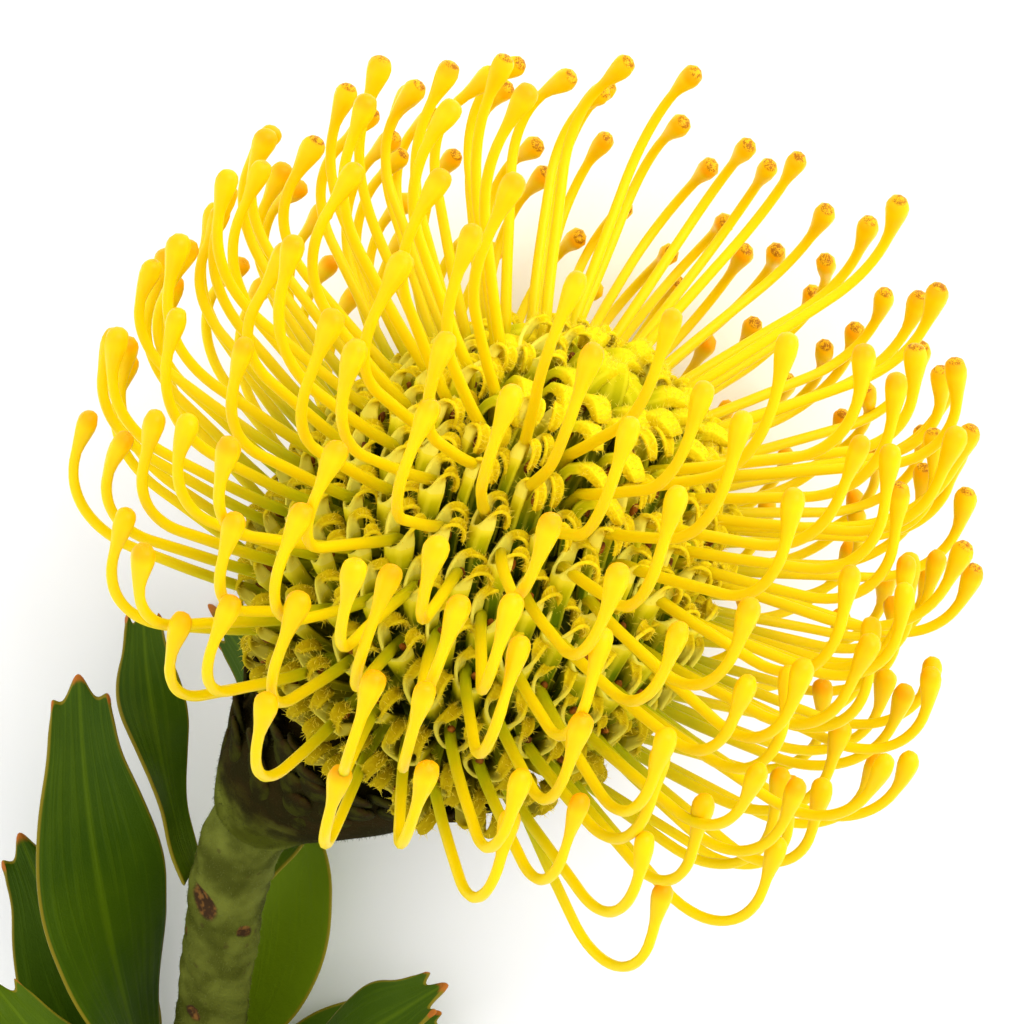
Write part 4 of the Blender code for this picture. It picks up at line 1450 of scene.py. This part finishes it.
def leaf_point(number, across, share):
    """A point of a blade in the plant's frame, with its half width there and the blade's length."""
    height, azimuth, tip, width, facing, widest, spread_angle = LEAVES[number]
    spread_angle = math.radians(spread_angle)
    height *= MM
    azimuth = math.radians(azimuth)
    width *= MM
    tip = Vector(tip) * MM
    facing = math.radians(facing)
    faced = Vector((math.cos(facing), math.sin(facing), 0.0))
    radial = Vector((math.cos(azimuth), math.sin(azimuth), 0.0))
    tangent = Vector((-math.sin(azimuth), math.cos(azimuth), 0.0))
    stand_off = stem_radius(height) + GAP + 0.5 * LEAF_THICK + LEAF_LIFT
    foot = stem_centre(height) + radial * stand_off
    length = (tip - foot).length
    outward = Vector((0.0, 0.0, math.cos(spread_angle))) + radial * math.sin(spread_angle)
    knee = foot + outward * (LEAF_KNEE * length)
    rise = smooth(share / widest)
    taper = LEAF_TAPER + LEAF_TAPER_EARLY * (0.62 - widest)
    fall = 1.0 - taper * smooth((share - widest - 0.08) / (0.92 - widest))
    half = 0.5 * (LEAF_FOOT_WIDTH + (width - LEAF_FOOT_WIDTH) * rise) * fall
    tooth = TOOTH * (0.2 + 0.8 * math.cos(math.tau * across)) * smooth((share - 0.86) / 0.14)
    corner = smooth((abs(across) - 0.86) / 0.14) * smooth((share - 0.94) / 0.06)
    forward = share + (tooth - LEAF_CORNER * corner) / length
    forward -= LEAF_TIP_ROUNDNESS * across * across * width / length * smooth((share - 0.75) / 0.25)
    half *= 1.0 - LEAF_CORNER_NARROWING * corner
    centre = foot.lerp(knee, forward).lerp(knee.lerp(tip, forward), forward)
    ahead = (knee - foot).lerp(tip - knee, forward).normalized()
    spread = smooth((share - 0.2) / 0.7)
    normal = (-radial).slerp(faced, spread * LEAF_FACING)
    normal = (normal - ahead * normal.dot(ahead)).normalized()
    lateral = ahead.cross(normal)
    if lateral.dot(tangent) < 0.0:
        lateral.negate()
    wrap = across * half / stand_off
    hugging = stem_centre(centre.z) + stand_off * (radial * math.cos(wrap) + tangent * math.sin(wrap))
    hugging.z = centre.z
    cup = LEAF_CUP * half * across * across
    ripple = LEAF_RIPPLE * width * math.sin(LEAF_RIPPLES * share + number) * across * spread
    flat = centre + lateral * (across * half) + normal * (cup + ripple)
    hugging += radial * ((centre - stem_centre(centre.z)).dot(radial) - stand_off)
    return hugging.lerp(flat, smooth(share / 0.3)), half, length


def leaf_piece(number):
    """One blade with three callus-tipped teeth, thick at its middle and thin at its margin."""
    name = "leaf_%02d_blade" % (number + 1)
    piece = add("grid", name, x_subdivisions=LEAF_COLUMNS, y_subdivisions=LEAF_ROWS, size=2.0)
    mesh = piece.data
    sides, shares, edges, calluses, bodies = [], [], [], [], []
    for vertex in mesh.vertices:
        across = vertex.co.x
        across = math.copysign(1.0 - (1.0 - abs(across)) ** LEAF_CROWDING[0], across)
        share = 0.5 * (vertex.co.y + 1.0)
        share = 1.0 - (1.0 - share) ** LEAF_CROWDING[1]
        place, half, length = leaf_point(number, across, share)
        vertex.co = place
        sides.append(across)
        shares.append(share)
        to_side = (1.0 - abs(across)) * half / MM
        to_tip = (1.0 - share) * length / MM
        edges.append(min(to_side, to_tip))
        tooth = smooth((math.cos(math.tau * across) - 0.1) / 0.7)
        calluses.append(tooth * (1.0 - smooth((to_tip - 0.3) / 1.3)))
        inner = smooth(min(to_side, to_tip) / LEAF_MARGIN_WIDTH)
        bodies.append(LEAF_MARGIN_BODY + (1.0 - LEAF_MARGIN_BODY) * inner)
    for name, values in (("across", sides), ("share", shares), ("edge", edges), ("callus", calluses)):
        put_values(mesh, name, values)
    put_values(mesh, "dice", [number * LEAF_DICE] * len(sides))
    # Paler tone for each leaf, with the sixth leaf's painted glow of light from behind
    put_values(mesh, "tone_and_glow", [LEAF_TONES_AND_GLOW[number]] * len(sides))
    thickness = piece.vertex_groups.new(name="body")
    for vertex, (body, callus) in enumerate(zip(bodies, calluses)):
        thickness.add([vertex], min(body + CALLUS_BODY * callus, 1.0), "REPLACE")
    mesh.transform(POSE)
    apply_modifier(
        piece, "SOLIDIFY", thickness=LEAF_THICK, offset=0.0, vertex_group="body",
        thickness_vertex_group=0.0,
    )
    recalculate_normals(piece)
    subdivide(piece)
    smooth_shading(piece)
    piece.vertex_groups.clear()
    return piece


# Stage

def view_axes():
    """The camera's own right, up and back directions in the world."""
    along = TURN @ Vector((0.0, 0.0, 1.0))
    over = TURN @ Vector((1.0, 0.0, 0.0))
    back = (along * math.cos(VIEW_ANGLE) + over * math.sin(VIEW_ANGLE)).normalized()
    up = (along - back * along.dot(back)).normalized()
    right = up.cross(back)
    turn_right = right * math.cos(VIEW_ROLL) + up * math.sin(VIEW_ROLL)
    turn_up = up * math.cos(VIEW_ROLL) - right * math.sin(VIEW_ROLL)
    return turn_right, turn_up, back


def add_camera():
    right, up, back = view_axes()
    middle = DOME_MIDDLE + TURN @ Vector((0.0, 0.0, VIEW_RAISE))
    aim = middle + up * VIEW_UP
    deselect()
    bpy.ops.object.camera_add()
    camera = added("view")
    turn = Matrix((right, up, back)).transposed().to_4x4()
    camera.matrix_world = Matrix.Translation(aim + back * VIEW_DISTANCE) @ turn
    camera.data.sensor_width = SENSOR
    camera.data.lens = SENSOR * VIEW_DISTANCE / VIEW_WIDTH
    camera.data.clip_start = 0.01
    camera.data.clip_end = 20.0
    bpy.context.scene.camera = camera


def add_softbox(name, place, width, power):
    """A large area light that faces the bloom."""
    deselect()
    bpy.ops.object.light_add(type="AREA", location=place)
    light = added(name)
    light.data.shape = "DISK"
    light.data.size = width
    light.data.energy = power
    light.rotation_euler = (Vector(place) - DOME_MIDDLE).to_track_quat("Z", "Y").to_euler()


class Builder:
    """What the operators share."""
    bl_options = {"REGISTER", "UNDO"}

    def execute(self, context):
        self.build(context.scene)
        return {"FINISHED"}


class PROTEA_OT_stage(Builder, bpy.types.Operator):
    """Sets the plain floor, the soft lights and the camera"""
    bl_idname = "protea.stage"
    bl_label = "Stage"

    def build(self, scene):
        stage = scene.protea_stage
        add_camera()
        floor = add("plane", "floor", size=FLOOR_SIZE, location=(0.0, 0.0, cad_box[0].z))
        paint = Paint("pale_floor", 0.6)
        pale = tuple(0.99 * value for value in stage.floor)
        colour = paint.over(stage.floor, pale, paint.patches(3.0, 0.3, 0.7))
        floor.data.materials.append(paint.finish(colour))
        add_softbox("key_light", *KEY_LIGHT, stage.key)
        add_softbox("fill_light", *FILL_LIGHT, stage.fill)
        world = scene.world or bpy.data.worlds.new("world")
        scene.world = world
        world.use_nodes = True
        sky = world.node_tree.nodes["Background"]
        sky.inputs["Color"].default_value = (1.0, 1.0, 1.0, 1.0)
        sky.inputs["Strength"].default_value = stage.sky
        scene.view_settings.view_transform = "Standard"


class PROTEA_OT_core(Builder, bpy.types.Operator):
    """Builds the core that the florets stand on"""
    bl_idname = "protea.core"
    bl_label = "Core"

    def build(self, scene):
        core = scene.protea_bloom.core
        material = plain_material("receptacle", core, tuple(1.7 * value for value in core), 500.0, 0.8)
        finish_piece(core_piece(), [material], ["bloom"])


class PROTEA_OT_florets(Builder, bpy.types.Operator):
    """Builds the florets, their anthers and their gold hairs"""
    bl_idname = "protea.florets"
    bl_label = "Florets"

    def build(self, scene):
        bloom = scene.protea_bloom
        florets = florets_piece()
        walls = [floret_material(bloom, False), floret_material(bloom, True)]
        finish_piece(florets, walls, ["bloom"])
        brown = tuple(0.4 * value for value in bloom.anther)
        anther = plain_material("anther", bloom.anther, brown, 900.0, 0.7)
        finish_piece(anthers_piece(), [anther], ["bloom"])
        lane = np.abs(values_of(florets.data, "across"))
        margin = np.where((lane < HAIR_LANES[0]) | (lane > HAIR_LANES[1]), 1.0, HAIR_BETWEEN)
        arms = np.clip(values_of(florets.data, "arm"), 0.0, 1.0) ** HAIR_RISE
        put_values(florets.data, "down", HAIR_WALL + margin * arms)
        hairs = grow_hairs("bloom_hairs", florets, bloom.hair_count, bloom.hair_length, *FLORET_HAIRS)
        finish_piece(hairs, [hair_material("gold_hair", *GOLD_HAIR)], ["bloom"])


class PROTEA_OT_styles(Builder, bpy.types.Operator):
    """Builds the styles with their pollen presenters"""
    bl_idname = "protea.styles"
    bl_label = "Styles"

    def build(self, scene):
        bloom = scene.protea_bloom
        finish_piece(styles_piece(bloom), [style_material(bloom)], ["bloom"])


class PROTEA_OT_collar(Builder, bpy.types.Operator):
    """Builds the collar, its bracts and its down"""
    bl_idname = "protea.collar"
    bl_label = "Collar"

    def build(self, scene):
        stem = scene.protea_stem
        cup = collar_piece()
        bracts = bracts_piece()
        finish_piece(cup, [collar_material(stem)], ["involucre"])
        finish_piece(bracts, [bract_material(stem)], ["involucre"])
        length = stem.hair_length * COLLAR_HAIR_GROWTH
        down = grow_hairs("involucre_down", cup, COLLAR_HAIR_COUNT, length, *COLLAR_HAIRS)
        more = grow_hairs("bract_down", bracts, BRACT_HAIR_COUNT, length, *BRACT_HAIRS)
        # The down's feet take the bract colour, with its painted shade
        grey = hair_material("grey_hair", stem.bract, stem.bark)
        finish_piece(joined([down, more], "involucre_down"), [grey], ["involucre"])


class PROTEA_OT_stem(Builder, bpy.types.Operator):
    """Builds the stem with its scars, cut end and down"""
    bl_idname = "protea.stem"
    bl_label = "Stem"

    def build(self, scene):
        stem = scene.protea_stem
        bark = stem_piece()
        finish_piece(bark, [bark_material(stem)], ["stem"])
        down = grow_hairs("stem_down", bark, STEM_HAIR_COUNT, stem.hair_length, *STEM_HAIRS)
        finish_piece(down, [hair_material("pale_hair", stem.bark_pale, PALE_HAIR_TIP)], ["stem"])


class PROTEA_OT_leaves(Builder, bpy.types.Operator):
    """Builds the leaves with their toothed tips"""
    bl_idname = "protea.leaves"
    bl_label = "Leaves"

    def build(self, scene):
        material = leaf_material(scene.protea_leaf)
        for number in range(len(LEAVES)):
            finish_piece(leaf_piece(number), [material], ["leaf_%02d" % (number + 1)])


BUILD_ORDER = ("stage", "core", "florets", "styles", "collar", "stem", "leaves")


class PROTEA_PT_panel(bpy.types.Panel):
    """The protea's settings, and a button for each group of pieces"""
    bl_idname = "PROTEA_PT_panel"
    bl_label = "Pincushion protea"
    bl_space_type = "VIEW_3D"
    bl_region_type = "UI"
    bl_category = "Protea"

    def draw(self, context):
        for name in SETTINGS:
            settings = getattr(context.scene, name)
            box = self.layout.box()
            for key in settings.__annotations__:
                box.prop(settings, key)
        for name in BUILD_ORDER:
            self.layout.operator("protea." + name)


SETTINGS = {
    "protea_bloom": BloomSettings, "protea_stem": StemSettings,
    "protea_leaf": LeafSettings, "protea_stage": StageSettings,
}
CLASSES = (
    *SETTINGS.values(),
    PROTEA_OT_stage, PROTEA_OT_core, PROTEA_OT_florets, PROTEA_OT_styles,
    PROTEA_OT_collar, PROTEA_OT_stem, PROTEA_OT_leaves, PROTEA_PT_panel,
)


def register():
    for item in CLASSES:
        bpy.utils.register_class(item)
    for name, kind in SETTINGS.items():
        setattr(bpy.types.Scene, name, PointerProperty(type=kind))


def unregister():
    for name in SETTINGS:
        delattr(bpy.types.Scene, name)
    for item in reversed(CLASSES):
        bpy.utils.unregister_class(item)


def main():
    register()
    for name in BUILD_ORDER:
        getattr(bpy.ops.protea, name)()


if __name__ == "__main__":
    main()
